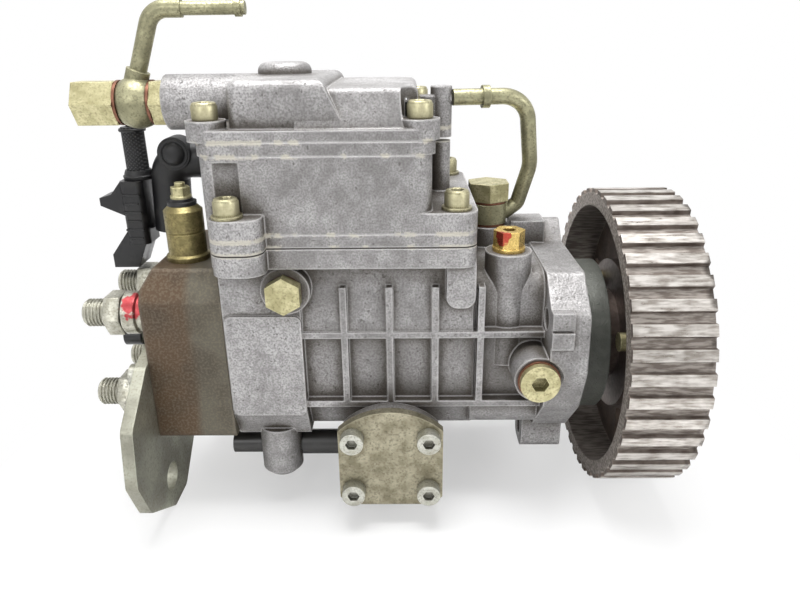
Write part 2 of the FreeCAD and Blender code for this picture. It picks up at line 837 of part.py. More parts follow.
def solenoid_terminal():
    """The stud, washer and small nut of the cut-off's wire."""
    z0 = head_top_z + solenoid_height
    nut = hex_bar(V(solenoid_x, solenoid_y, z0 + 3.8), Z_AXIS, 7.0, 3.6)
    return nut.fuse([
        rod_z(z0, z0 + 9.2, 2.1, solenoid_x, solenoid_y),
        rod_z(z0 + 2.8, z0 + 3.9, solenoid_r - 3.6, solenoid_x, solenoid_y),
    ])


def solenoid_armature():
    """The plunger that shuts the fuel off, pressed down by its spring."""
    low = head_top_z - solenoid_depth
    cone = Part.makeCone(1.6, armature_r, 1.5, V(solenoid_x, solenoid_y, low + seat_gap), Z_AXIS)
    return rod_z(low + 1.5, head_top_z + 6.0, armature_r, solenoid_x, solenoid_y).fuse(cone)


def rear_bracket():
    """The plated steel plate on the head's rear face."""
    x0 = head_end_x - bracket_t
    plate = prism([V(x0, y, z) for y, z in bracket_outline], V(bracket_t, 0, 0))
    plate = rounded_edges(plate, bracket_corner, lambda e: runs_along(e, X_AXIS))
    cuts = [
        rod_x(x0 - 1, head_end_x + 1, bracket_hole_r, *bracket_hole),
        rod_x(x0 - 1, head_end_x + 1, valve_neck_r + 2.0, -valve_offset, -valve_offset),
    ]
    for y, z in bracket_screws:
        cuts.append(rod_x(x0 - 1, head_end_x + 1, bracket_screw_r + seat_gap, y, z))
    return plate.cut(cuts)


def bracket_screw(y, z):
    """A socket screw that holds the rear bracket."""
    x = head_end_x - bracket_t
    socket = hex_bar(V(x - bracket_head_w - 0.1, y, z), X_AXIS, bracket_head_r, bracket_socket_depth + 0.1)
    shank = rod_x(x - 0.1, head_end_x + 8.5, bracket_screw_r, y, z)
    return rod_x(x - bracket_head_w, x, bracket_head_r, y, z).fuse(shank).cut(socket)


def cut_deck_holes(plate, z0, z1, centre_r):
    """Clear the rotor's shaft and the deck screws through a plate."""
    cuts = [rod_z(z0 - 1, z1 + 1, centre_r, adjuster_x, 0.0)]
    for x, y in deck_screw_places():
        cuts.append(rod_z(z0 - 1, z1 + 1, deck_screw_r + seat_gap, x, y))
    return plate.cut(cuts)


def spacer_plate():
    """The intermediate plate under the adjuster."""
    return cut_deck_holes(deck_shape(spacer_z, adjuster_z), spacer_z, adjuster_z, rotor_hole_r)


def adjuster_housing():
    """The open-topped box that holds the rotary magnet."""
    foot = deck_shape(adjuster_z, foot_top_z)
    walls = rounded_block(
        deck_left_x, box_right_x, -deck_half_y, deck_half_y, adjuster_z, band_z, 6.0, Z_AXIS)
    cavity = rounded_block(
        deck_left_x + box_wall, box_right_x - box_wall, -deck_half_y + 2 * box_wall,
        deck_half_y - 2 * box_wall, foot_top_z - 2, band_z + 1, 5.0, Z_AXIS)
    vent = rod_z(foot_top_z - 1, band_z - 0.5, vent_column_r, vent_x, 0.0)
    cuts = [cavity]
    for x, y in deck_screw_places():
        cuts.append(rod_z(foot_top_z, band_z - 2.0, screw_head_r + screw_relief, x, y))
    for x, y in cover_screw_places():
        cuts.append(rod_z(band_z - 10, band_z + 1, cover_screw_r, x, y))
    body = foot.fuse([walls, vent]).cut(cuts)
    return cut_deck_holes(body, adjuster_z, foot_top_z, rotor_shaft_r + fit_gap)


def cover_outline(z0, z1):
    """The plan shape of the cover's base and the band under it."""
    return rounded_block(
        deck_left_x - 0.8, box_right_x + 1.2, -deck_half_y, deck_half_y, z0, z1, 6.5, Z_AXIS)


def band_plate():
    """The flat frame between the adjuster housing and the top cover."""
    opening = rounded_block(
        deck_left_x + box_wall, box_right_x - box_wall, -deck_half_y + 2 * box_wall,
        deck_half_y - 2 * box_wall, band_z - 1, cover_z + 1, 5.0, Z_AXIS)
    cuts = [opening]
    for x, y in cover_screw_places():
        cuts.append(rod_z(band_z - 1, cover_z + 1, cover_screw_r + seat_gap, x, y))
    return cover_outline(band_z, cover_z).cut(cuts)


def top_cover():
    """The stepped lid with its return boss, sensor dome, corner posts and vent union."""
    tall = [
        V(block_left_x, -block_half_y, cover_z), V(block_left_x, -block_half_y, block_top_z),
        V(block_top_x, -block_half_y, block_top_z), V(block_foot_x, -block_half_y, cover_z + 2),
        V(block_foot_x, -block_half_y, cover_z),
    ]
    tall_block = prism(tall, V(0, 2 * block_half_y, 0))
    top = block_top_z - 0.5
    tall_block = rounded_edges(
        tall_block, 4.0, lambda e: min(v.Z for v in e.Vertexes) > top or runs_along(e, Z_AXIS)
        and max(v.X for v in e.Vertexes) < block_left_x + 1)
    low = [
        V(block_top_x - block_overlap, -low_block_half_y - block_flare, cover_z),
        V(block_top_x - block_overlap, -low_block_half_y - block_flare, cover_z + cover_base_t),
        V(block_top_x - block_overlap, -low_block_half_y, low_block_top_z),
        V(block_top_x - block_overlap, low_block_half_y, low_block_top_z),
        V(block_top_x - block_overlap, low_block_half_y + block_flare, cover_z + cover_base_t),
        V(block_top_x - block_overlap, low_block_half_y + block_flare, cover_z),
    ]
    low_block = prism(low, V(low_block_x - block_top_x + block_overlap, 0, 0))
    low_block = rounded_edges(low_block, 3.0, lambda e: min(v.Z for v in e.Vertexes) > low_block_top_z - 1
                              and max(v.X for v in e.Vertexes) > block_top_x)
    dome = rounded_edges(rod_z(block_top_z - 4, dome_z, dome_r, adjuster_x, 0.0), 3.6,
                         lambda e: min(v.Z for v in e.Vertexes) > dome_z - 0.5)
    pieces = [tall_block, low_block, dome]
    pieces.append(rod_x(return_boss_x, block_left_x + 8, return_boss_r, 0.0, return_z))
    pieces.append(rod_z(cover_z - 4, vent_z + vent_column_rise, vent_column_r + 0.4, vent_x, 0.0))
    pieces.append(block(box_right_x - 4, vent_x, -vent_web_half, vent_web_half, cover_z, vent_z + 1.0))
    for x, y in cover_screw_places():
        pieces.append(rod_z(cover_z, cover_seat_z, cover_post_r, x, y))
    body = cover_outline(cover_z, cover_z + cover_base_t).fuse(pieces)
    band_clear = cover_outline(band_z - 1, cover_z)
    cavity = block(block_left_x + cover_wall, low_block_x - cover_wall, -low_block_half_y + cover_wall,
                   low_block_half_y - cover_wall, cover_z - 1, low_block_top_z - cover_wall)
    cuts = [band_clear, cavity]
    cuts.append(rod_x(return_boss_x - 1, return_boss_x + 16, return_bolt_r, 0.0, return_z))
    cuts.append(rod_x(vent_x, vent_x + 10, vent_pipe_r - 1.0, 0.0, vent_z))
    for x, y in cover_screw_places():
        cuts.append(rod_z(cover_z - 1, cover_seat_z + 1, cover_screw_r + seat_gap, x, y))
        cuts.append(rod_z(cover_seat_z, block_top_z + 1, screw_head_r + cover_relief, x, y))
    return body.cut(cuts)


def socket_screw_z(x, y, seat_z, low_z, shank_r, washer_t):
    """An upright socket-headed screw, with a flat washer when it has one."""
    z0 = seat_z + washer_t
    top = z0 + screw_head_h
    head = revolve_z([(z0, 0), (z0, screw_head_r), (top - screw_chamfer, screw_head_r),
                      (top, screw_head_r - screw_chamfer), (top, 0)], x, y)
    socket = hex_bar(V(x, y, top - screw_socket_depth), Z_AXIS, screw_socket_flats, screw_socket_depth + 1)
    screw = head.fuse(rod_z(low_z, z0 + 0.1, shank_r, x, y)).cut(socket)
    if not washer_t:
        return screw
    return screw.fuse(ring_z(seat_z, z0, screw_head_r + washer_rise, shank_r - 0.1, x, y))


def adjuster_screw(x, y):
    """A screw that holds the adjuster and the spacer down on the deck."""
    low_z = deck_z - deck_screw_depth + seat_gap
    return socket_screw_z(x, y, foot_top_z, low_z, deck_screw_r, deck_washer_t)


def cover_screw(x, y):
    """A screw that holds the top cover and the band."""
    return socket_screw_z(x, y, cover_seat_z, band_z - 9, cover_screw_r, 0.0)


def timing_screw(x, z, side):
    """A cheese-headed screw of a timing cover."""
    face = side * (tunnel_half + timing_cover_t)
    head_end = face + side * timing_head_h
    head = rod_y(min(face, head_end), max(face, head_end), timing_head_r, x, z)
    shank_end = face - side * timing_screw_depth
    shank = rod_y(min(face, shank_end) + seat_gap, max(face, shank_end) - seat_gap, timing_screw_r, x, z)
    join = rod_y(min(face, face - side), max(face, face - side), timing_screw_r, x, z)
    socket_y = head_end - side * timing_socket_depth
    socket = hex_bar(
        V(x, min(head_end + side, socket_y), z), Y_AXIS, timing_socket_flats, timing_socket_depth + 1)
    return head.fuse([shank, join]).cut(socket)


def timing_cover(side):
    """A plated end cover of the timing device."""
    y0 = tunnel_half if side > 0 else -tunnel_half - timing_cover_t
    plate = timing_plate(y0, y0 + timing_cover_t, 0.0)
    cuts = []
    for x, z in timing_screw_places():
        cuts.append(rod_y(y0 - 1, y0 + timing_cover_t + 1, timing_screw_r + seat_gap, x, z))
    return plate.cut(cuts)


def timing_piston():
    """The hollow piston that turns the roller ring."""
    y0 = piston_start_y
    slot_r = ring_pin_r + run_gap
    z0 = timing_z - 5.0
    z1 = timing_z + piston_r + 1
    slot = block(timing_x - slot_r, timing_x + slot_r, -pin_tilt, slot_lead, z0, z1)
    slot = slot.fuse([rod_z(z0, z1, slot_r, timing_x, -pin_tilt), rod_z(z0, z1, slot_r, timing_x, slot_lead)])
    body = rod_y(y0, y0 + piston_length, piston_r, timing_x, timing_z)
    return body.cut([
        rod_y(pin_wall, y0 + piston_length + 1, piston_r - 2.6, timing_x, timing_z),
        slot,
        rod_y(y0 - 1, -pin_wall, piston_r - 3.4, timing_x, timing_z),
    ])


def timing_spring():
    """The spring that pushes the piston back to the late stop."""
    y0 = piston_start_y + piston_length + piston_travel + seat_gap
    return coil(V(timing_x, y0, timing_z), Y_AXIS, 6.6, 1.0, tunnel_half - y0 - fit_gap, 5)


def roller_places():
    """The angles of the rollers about the shaft."""
    return [45.0 + i * 360.0 / roller_count for i in range(roller_count)]


def radial_rod(inner, outer, radius, x, degrees):
    """A round bar that points away from the shaft at one angle."""
    y, z = polar(1.0, degrees)
    return Part.makeCylinder(radius, outer - inner, V(x, y * inner, z * inner), V(0, y, z))


def roller_ring():
    """The ring that carries the rollers, with the pin that reaches down to the piston."""
    body = ring_x(ring_x0, ring_x1, ring_bore_r - fit_gap, ring_inner_r)
    pockets = []
    spindles = []
    for a in roller_places():
        pockets.append(radial_rod(ring_inner_r - 3, pocket_outer_r, roller_r + run_gap, roller_x, a))
        spindles.append(radial_rod(roller_inner_r - 1.5, pocket_outer_r + 0.5, roller_pin_r, roller_x, a))
    pin = rod_z(timing_z - 2.5, -ring_inner_r - 2.5, ring_pin_r, timing_x, 0.0)
    return body.cut(pockets).fuse(spindles + [pin])


def rollers():
    """The four rollers on their spindles."""
    bodies = []
    for a in roller_places():
        body = radial_rod(roller_inner_r, roller_outer_r, roller_r, roller_x, a)
        hole = radial_rod(roller_inner_r - 2, ring_bore_r, roller_pin_r, roller_x, a)
        bodies.append(body.cut(hole))
    return bodies


def cam_plate():
    """The face cam with four noses, and the two claws that the coupling turns."""
    disc = rod_x(cam_back_x, cam_face_x, ring_bore_r - 0.6)
    envelope = ring_x(cam_face_x - 1, cam_peak_x + 1, ring_bore_r - 0.6, roller_inner_r - 2)
    noses = []
    for a in roller_places():
        bar = radial_rod(5.0, ring_bore_r + 2, cam_nose_r, cam_peak_x - cam_nose_r, a)
        noses.append(bar.common(envelope))
    claws = []
    for z0 in (claw_inner, -claw_r):
        z1 = z0 + claw_r - claw_inner
        claws.append(block(cam_face_x - 1, coupling_x1, -claw_half_w, claw_half_w, z0, z1))
    claws = [c.common(rod_x(cam_back_x, coupling_x1 + 1, claw_r)) for c in claws]
    return disc.fuse(noses + claws)


def cross_coupling():
    """The floating cross between the shaft's claws and the cam plate's claws."""
    disc = rod_x(coupling_x0, coupling_x1, claw_r)
    cuts = []
    inner = claw_inner - seat_gap
    half = claw_half_w + seat_gap
    for sign in (-1, 1):
        y0, y1 = sorted((sign * inner, sign * (claw_r + 1)))
        cuts.append(block(coupling_x0 - 1, coupling_x1 + 1, -half, half, y0, y1))
        cuts.append(block(coupling_x0 - 1, coupling_x1 + 1, y0, y1, -half, half))
    return disc.cut(cuts)


def drive_shaft():
    """The shaft: two claws, bearing length, taper and thread."""
    claw_end = coupling_x1 + 2.0
    taper = Part.makeCone(shaft_r, shaft_nose_r, web_front - 2 - hub_start_x, V(hub_start_x, 0, 0), X_AXIS)
    pieces = [
        rod_x(claw_end + 2.0, hub_start_x + 0.01, shaft_r), taper,
        rod_x(web_front - 2.1, thread_end, thread_r),
        rod_x(claw_end - 0.1, claw_end + 2.2, claw_r),
    ]
    limit = rod_x(coupling_x0, claw_end, claw_r)
    for y0 in (claw_inner, -claw_r):
        y1 = y0 + claw_r - claw_inner
        claw = block(coupling_x0, claw_end, y0, y1, -claw_half_w, claw_half_w)
        pieces.append(claw.common(limit))
    return pieces[0].fuse(pieces[1:])


def shaft_taper():
    """The cone that the hub seats on."""
    return Part.makeCone(shaft_r, shaft_nose_r, web_front - 2 - hub_start_x, V(hub_start_x, 0, 0), X_AXIS)


def hub_bolt_places():
    """The (y, z) centres of the bolts between the hub and the sprocket."""
    return [polar(hub_bolt_circle_r, 165.0 + i * 120.0) for i in range(3)]


def hub():
    """The hub on the shaft's taper, with the flange that the sprocket bolts to."""
    body = rod_x(hub_start_x, web_front - 2, hub_boss_r)
    body = body.fuse(rod_x(web_back - hub_flange_t, web_back, hub_r))
    cuts = [shaft_taper()]
    for y, z in hub_bolt_places():
        cuts.append(rod_x(web_back - hub_flange_t - 1, web_back + 1, hub_bolt_r, y, z))
    return body.cut(cuts)


def hub_bolt(y, z):
    """A bolt through the sprocket's web into the hub."""
    head = hex_bar(V(web_front + 1.6, y, z), X_AXIS, hub_bolt_flats, 5.3)
    washer = rod_x(web_front, web_front + 1.7, hub_bolt_flats / 2 + 1.5, y, z)
    shank = rod_x(web_back - hub_flange_t - 3.0, web_front + 0.1, hub_bolt_r, y, z)
    return head.fuse([washer, shank])


def hub_nut():
    """The nut and washer that draw the hub onto the taper."""
    nut = hex_bar(V(washer_front, 0, 0), X_AXIS, nut_flats, nut_height)
    return nut.cut(rod_x(washer_front - 1, washer_front + nut_height + 1, thread_r))


def sprocket_outline():
    """The toothed rim's outline: flat lands with sloped flanks, by formula."""
    step = 2 * math.pi / tooth_count
    points = []
    for i in range(tooth_count):
        middle = i * step
        for share, radius in ((-0.30, root_r), (-0.24, rim_r), (0.24, rim_r), (0.30, root_r)):
            a = middle + share * step
            points.append(V(sprocket_back, radius * math.cos(a), radius * math.sin(a)))
    return points


def sprocket():
    """The toothed wheel: 44 lands, open back, web with windows and bolt slots."""
    front = sprocket_back + sprocket_width
    rim = prism(sprocket_outline(), V(sprocket_width, 0, 0))
    cuts = [
        rod_x(sprocket_back - 1, web_back, rim_inner_r),
        rod_x(web_front, front + 1, rim_inner_r),
        rod_x(web_back - 1, web_front + 1, hub_boss_r + seat_gap),
    ]
    inner = hub_r + window_margin
    outer = rim_inner_r - window_margin
    for i in range(window_count):
        start = 105.0 + i * 360.0 / window_count - window_angle / 2
        cuts.append(window(inner, outer, start))
    for y, z in hub_bolt_places():
        cuts.append(rod_x(web_back - 1, web_front + 1, hub_bolt_r + 0.3, y, z))
    return rim.cut(cuts)


def window(inner, outer, start):
    """A curved opening of the web between two radii."""
    ring = ring_x(web_back - 1, web_front + 1, outer, inner)
    reach = 2 * outer
    corners = [V(web_back - 2, 0, 0)]
    for share in (0.0, 0.5, 1.0):
        y, z = polar(reach, start + share * window_angle)
        corners.append(V(web_back - 2, y, z))
    sector = prism(corners, V(web_thickness + 4, 0, 0))
    piece = ring.common(sector)
    return rounded_edges(piece, 4.0, lambda e: runs_along(e, X_AXIS))


def feed_pump_ring():
    """The feed pump's ring, with its bore set off the shaft's axis."""
    return rod_x(ring_start_x, pump_end_x, pump_bore_r).cut(
        rod_x(ring_start_x - 1, pump_end_x + 1, pump_ring_inner_r, ring_offset, 0.0))


def feed_pump_rotor():
    """The slotted rotor on the shaft."""
    x0, x1 = ring_start_x + seat_gap, pump_end_x - seat_gap
    body = ring_x(x0, x1, rotor_r, shaft_r)
    slots = [vane_block(i, vane_t / 2 + fit_gap, vane_inner_r, rotor_r + 1, x0 - 1, x1 + 1)
             for i in range(vane_count)]
    return body.cut(slots)


def vane_block(index, half, inner, outer, x0, x1):
    """A radial plate at one of the vane angles."""
    plate = block(x0, x1, inner, outer, -half, half)
    plate.rotate(V(0, 0, 0), X_AXIS, index * 360.0 / vane_count)
    return plate


def feed_pump_vanes():
    """The vanes, pushed back into their slots."""
    x0, x1 = ring_start_x + seat_gap, pump_end_x - seat_gap
    return [vane_block(i, vane_t / 2, vane_inner_r, rotor_r + 0.2, x0, x1) for i in range(vane_count)]


def plunger():
    """The distributor plunger with its foot and its spill port."""
    body = rod_x(head_end_x + plug_seat + 4.0, plunger_foot_x + 0.1, plunger_r)
    port = rod_y(-plunger_r - 1, plunger_r + 1, 1.2, adjuster_x - collar_width / 2 + 2.0, 0.0)
    return body.fuse(rod_x(plunger_foot_x, cam_back_x, 8.0)).cut(port)


def control_collar():
    """The ring on the plunger that sets how much fuel is delivered."""
    half = collar_width / 2
    body = ring_x(adjuster_x - half, adjuster_x + half, collar_r, plunger_r + fit_gap)
    gap = pin_r + 0.06
    slot = block(adjuster_x - gap, adjuster_x + gap, -eccentric - pin_r - 0.8,
                 -eccentric + pin_r + 1.0, plunger_r + 1.2, collar_r + 1)
    return body.cut(slot)


def adjuster_rotor():
    """The rotary magnet's shaft, iron and eccentric pin."""
    disc_z = collar_r + 1.0
    pieces = [
        rod_z(disc_z + 2.9, cover_z + 6.0, rotor_shaft_r, adjuster_x, 0.0),
        rod_z(disc_z, disc_z + 3.0, 6.0, adjuster_x, 0.0),
        rod_z(plunger_r + 1.8, disc_z + 0.1, pin_r, adjuster_x, -eccentric),
        rod_z(foot_top_z + 4.0, band_z - 4.0, rotor_iron_r, adjuster_x, 0.0),
    ]
    return pieces[0].fuse(pieces[1:])


def stator():
    """The laminated yoke round the rotor, with its bore."""
    z0 = foot_top_z - 2
    yoke = rounded_block(
        adjuster_x - yoke_left, adjuster_x + yoke_right, -yoke_half_y, yoke_half_y,
        z0, band_z - 3.0, 3.0, Z_AXIS)
    bore = rod_z(z0 - 1, band_z, rotor_iron_r + run_gap, adjuster_x, 0.0)
    lane = block(adjuster_x + lane_left, adjuster_x + lane_right, -lane_half_y, lane_half_y, z0 - 1, band_z)
    return yoke.cut([bore, lane])


def magnet_coil():
    """The magnet's winding in the yoke's window."""
    z0 = foot_top_z - 2
    return rounded_block(
        adjuster_x + lane_left + coil_gap, adjuster_x + lane_right - coil_gap, coil_gap - lane_half_y,
        lane_half_y - coil_gap, z0, band_z - 4.0, 3.0, Z_AXIS)


def spring_yoke():
    """The plate that passes the spring load to the plunger's foot."""
    plate = rounded_block(yoke_x, yoke_x + yoke_t, -25.4, 25.4, -9.0, 9.0, 6.0, X_AXIS)
    return plate.cut(rod_x(yoke_x - 1, yoke_x + yoke_t + 1, plunger_r + run_gap))


def plunger_springs():
    """The two coil springs between the head and the yoke."""
    x0 = head_x + spigot_length + fit_gap
    length = yoke_x - x0 - fit_gap
    springs = []
    for y in (-spring_offset, spring_offset):
        springs.append(coil(V(x0, y, 0), X_AXIS, spring_mean_r, spring_wire_r, length, spring_turns))
    return springs


def pressure_valve():
    """The gold-plated hexagon valve that sets the feed pressure."""
    seat = valve_boss_z
    x, y = valve_boss_x, valve_boss_y
    hexagon = hex_bar(V(x, y, seat + 1.5), Z_AXIS, 11.0, 7.0)
    collar = rod_z(seat, seat + 1.6, 6.6, x, y)
    shank = rod_z(seat - valve_shank + 1, seat + 0.1, valve_shank_r, x, y)
    socket = hex_bar(V(x, y, seat + 5.0), Z_AXIS, 5.0, 4.0)
    return hexagon.fuse([collar, shank]).cut(socket)


def socket_plug():
    """The round plug with a hexagon socket near the flange."""
    y0 = near_plug_y
    seat_y = y0 - plug_washer_t
    head = rod_y(seat_y - near_plug_head_w, seat_y, near_plug_head_r, near_plug_x, near_plug_z)
    shank = rod_y(y0 - 1.2, y0 + plug_depth - 2, near_plug_r, near_plug_x, near_plug_z)
    socket = hex_bar(V(near_plug_x, y0 - 4.3, near_plug_z), Y_AXIS, near_plug_socket_flats, 4.0)
    return head.fuse(shank).cut(socket)


def hex_plug():
    """The hexagon plug with its copper-coloured washer on the near wall."""
    y0 = hex_plug_y
    head = hex_bar(
        V(hex_plug_x, y0 - plug_washer_t - hex_plug_head_w, hex_plug_z), Y_AXIS, hex_plug_flats,
        hex_plug_head_w, 30.0)
    shank = rod_y(y0 - 1.2, y0 + plug_depth - 2, hex_plug_r, hex_plug_x, hex_plug_z)
    return head.fuse(shank)


def magnet_valve():
    """The timing device's magnet valve, lying under the housing beside the cover."""
    x1 = timing_x - tunnel_half_w
    x0 = foot_boss_x + foot_boss_r + run_gap
    body = rod_x(x0, x1, magnet_valve_r, magnet_valve_y, magnet_valve_z)
    tail_x = foot_boss_x - foot_boss_r - magnet_tail
    return body.fuse(rod_x(tail_x, x0 + 1, magnet_tail_r, magnet_valve_y, magnet_valve_z))


def hex_cap():
    """The closed hexagon end of the return fitting, with its hollow stem."""
    x0 = return_cap_x
    cap = hex_bar(V(x0, 0, return_z), X_AXIS, return_flats, return_cap_w)
    stem = rod_x(x0 + return_cap_w - 0.1, return_boss_x + 12.0, return_bolt_r, 0.0, return_z)
    return cap.fuse(stem)


def return_nut():
    """The hexagon between the banjo eye and the cover's boss."""
    nut = hex_bar(V(return_nut_x, 0, return_z), X_AXIS, return_flats, return_nut_w)
    return nut.cut(rod_x(return_nut_x - 1, return_boss_x + 1, return_bolt_r, 0.0, return_z))


def return_banjo():
    """The banjo eye with its tube: up, round a bend and out to a hose nipple."""
    middle = return_eye_x + banjo_width / 2
    ball = Part.makeSphere(banjo_ball_r, V(middle, 0, return_z))
    ball = ball.common(block(return_eye_x, return_eye_x + banjo_width, -20, 20,
                             return_z - 20, return_z + 20))
    nipple_x = nipple_end_x - nipple_length
    path = [V(middle, 0, return_z + 7), V(middle + pipe_lean, 0, pipe_top_z), V(nipple_x, 0, pipe_top_z)]
    pipe = tube(path, pipe_r, [pipe_bend])
    nipple = rod_x(nipple_x - 0.1, nipple_end_x, hose_r, 0.0, pipe_top_z)
    bead = rod_x(nipple_end_x - 4.0, nipple_end_x - 1.5, hose_r + 0.7, 0.0, pipe_top_z)
    lean = V(pipe_lean, 0, pipe_top_z - return_z - 7).normalize()
    foot = V(middle, 0, return_z + 7)
    neck = bar(foot, foot + lean * 6.0, pipe_r + 1.3)
    hole = rod_x(return_eye_x - 1, return_eye_x + banjo_width + 1, return_bolt_r, 0.0, return_z)
    return ball.fuse([pipe, nipple, bead, neck]).cut(hole)


def vent_pipe():
    """The steel pipe from the cover's union down to the eye on the housing."""
    z0 = vent_z
    eye_z = banjo_seat_z + copper_t
    start = vent_x + vent_column_r + 0.7
    path = [V(start, 0, z0), V(banjo_x + 13.5, 4.0, z0), V(banjo_x + 17.5, 10.0, vent_low_z[0]),
            V(banjo_x + 13.2, banjo_y, vent_low_z[1]), V(banjo_x + 7, banjo_y, eye_z + 3.5)]
    pipe = tube(path, vent_pipe_r, vent_bends)
    run = path[1].sub(path[0]).normalize()
    bead = bar(path[0] + run * vent_bead[0], path[0] + run * vent_bead[1], vent_pipe_r + 1.3)
    eye = rod_z(eye_z, eye_z + vent_eye_h, vent_eye_r, banjo_x, banjo_y)
    hole = rod_z(eye_z - 1, eye_z + 10, hollow_bolt_r, banjo_x, banjo_y)
    return pipe.fuse([bead, eye]).cut(hole)


def vent_bolt():
    """The hollow bolt that holds the vent pipe's eye."""
    eye_top = banjo_seat_z + copper_t + vent_eye_h
    head = hex_bar(V(banjo_x, banjo_y, eye_top + copper_t), Z_AXIS, vent_bolt_flats, vent_bolt_head_w, 30.0)
    low = banjo_seat_z - hollow_bolt_depth + 2
    return head.fuse(rod_z(low, eye_top + copper_t + 0.1, hollow_bolt_r, banjo_x, banjo_y))


def copper_washers():
    """The soft washers of the outlets, the return fitting, the vent eye and the plugs."""
    eye_top = banjo_seat_z + copper_t + vent_eye_h
    places = [(return_nut_x - copper_t), (return_eye_x - copper_t)]
    washers = [ring_x(x, x + copper_t, 9.0, return_bolt_r, 0.0, return_z) for x in places]
    for z in (banjo_seat_z, eye_top):
        washers.append(ring_z(z, z + copper_t, 8.2, hollow_bolt_r, banjo_x, banjo_y))
    washers.append(ring_y(hex_plug_y - plug_washer_t, hex_plug_y, hex_plug_r + 1.6, hex_plug_r,
                          hex_plug_x, hex_plug_z))
    washers.append(ring_y(near_plug_y - plug_washer_t, near_plug_y, near_plug_r + 1.4, near_plug_r,
                          near_plug_x, near_plug_z))
    return washers + [holder_washer(y, z) for y, z in valve_places()]


def harness_elbow():
    """The black duct from the adjuster's rear wall, bent down to the connector."""
    path = [V(deck_left_x, elbow_y, elbow_top_z), V(elbow_x, elbow_y, elbow_top_z),
            V(elbow_x - 2.0, elbow_y, elbow_low_z)]
    duct = tube(path, elbow_r, [elbow_bend])
    eye = rod_y(elbow_y - elbow_r - 1.0, elbow_y, disc_r, *disc_centre)
    return duct.fuse(eye)


def connector():
    """The flat connector body with its hood and slanted lower half, beside the duct's mouth."""
    x0, x1, z0, z1 = connector_box
    y0, y1 = connector_y
    body = rounded_block(x0, x1, y0, y1, z0, z1, 3.0, Z_AXIS)
    hood = prism([V(elbow_x - x, y0 + 1.5, z) for x, z in hood_outline], V(0, y1 - y0 - 3.0, 0))
    lower = prism([V(elbow_x - x, y0 + 1.0, z) for x, z in lower_outline], V(0, y1 - y0 - 2.0, 0))
    return body.fuse([hood, lower])


def sleeve():
    """The braided sleeve over the lead, standing on the connector."""
    x, y = sleeve_place
    return ring_z(connector_box[3], sleeve_top_z, sleeve_r, lead_r + fit_gap, x, y)


def harness_lead():
    """The lead from the connector back to the adjuster's rear wall, behind the return fitting."""
    x, y = sleeve_place
    path = [V(x, y, connector_box[3]), V(x, y, sleeve_top_z + lead_rise[0]),
            V(x + lead_run, lead_y, sleeve_top_z + lead_rise[1]), V(deck_left_x - 1.6, lead_y, lead_end_z)]
    return tube(path, lead_r, lead_bends)


save("pump_housing", pump_housing())
save("shaft_bush", ring_x(pump_end_x, pump_end_x + bush_length, bush_r, shaft_r + fit_gap))
save("shaft_seal", ring_x(seal_x, seal_x + seal_width, seal_r, shaft_r + seat_gap))
save("hydraulic_head", hydraulic_head())
save("plunger_barrel", plunger_barrel())
save("central_plug", central_plug())
save("plug_cap", plug_cap())
save("delivery_holders", [delivery_holder(y, z) for y, z in valve_places()])
save("delivery_valves", [delivery_valve(y, z) for y, z in valve_places()])
save("cutoff_solenoid", cutoff_solenoid())
save("solenoid_insulator", solenoid_insulator())
save("solenoid_terminal", solenoid_terminal())
save("solenoid_armature", solenoid_armature())
save("rear_bracket", rear_bracket())
save("bracket_screws", [bracket_screw(y, z) for y, z in bracket_screws])
save("deck_gasket", cut_deck_holes(deck_shape(deck_z, spacer_z), deck_z, spacer_z, rotor_hole_r))
save("spacer_plate", spacer_plate())
save("adjuster_housing", adjuster_housing())
save("band_plate", band_plate())
save("top_cover", top_cover())
save("adjuster_screws", [adjuster_screw(x, y) for x, y in deck_screw_places()])
save("cover_screws", [cover_screw(x, y) for x, y in cover_screw_places()])
save("timing_covers", [timing_cover(side) for side in (-1, 1)])
save("timing_screws", [timing_screw(x, z, side) for x, z in timing_screw_places() for side in (-1, 1)])
save("timing_piston", timing_piston())
save("timing_spring", timing_spring())
save("magnet_valve", magnet_valve())
save("roller_ring", roller_ring())
save("rollers", rollers())
save("cam_plate", cam_plate())
save("cross_coupling", cross_coupling())
save("drive_shaft", drive_shaft())
save("hub", hub())
save("hub_bolts", [hub_bolt(y, z) for y, z in hub_bolt_places()])
save("hub_nut", [hub_nut(), ring_x(web_front - 2, washer_front, 12.0, thread_r)])
save("sprocket", sprocket())
save("feed_pump_ring", feed_pump_ring())
save("feed_pump_cover", ring_x(pump_cover_x, ring_start_x, pump_bore_r, shaft_r + run_gap))
save("feed_pump_rotor", feed_pump_rotor())
save("feed_pump_vanes", feed_pump_vanes())
save("plunger", plunger())
save("control_collar", control_collar())
save("adjuster_rotor", adjuster_rotor())
save("stator", stator())
save("magnet_coil", magnet_coil())
save("spring_yoke", spring_yoke())
save("plunger_springs", plunger_springs())
save("pressure_valve", pressure_valve())
save("socket_plug", socket_plug())
save("hex_plug", hex_plug())
save("hex_cap", hex_cap())
save("return_nut", return_nut())
save("return_banjo", return_banjo())
save("vent_pipe", vent_pipe())
save("vent_bolt", vent_bolt())
save("copper_washers", copper_washers())
save("harness_elbow", harness_elbow())
save("connector", connector())
save("harness_sleeve", sleeve())
save("harness_lead", harness_lead())
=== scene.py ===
import bmesh
import bpy
import math
from mathutils import Matrix, Vector


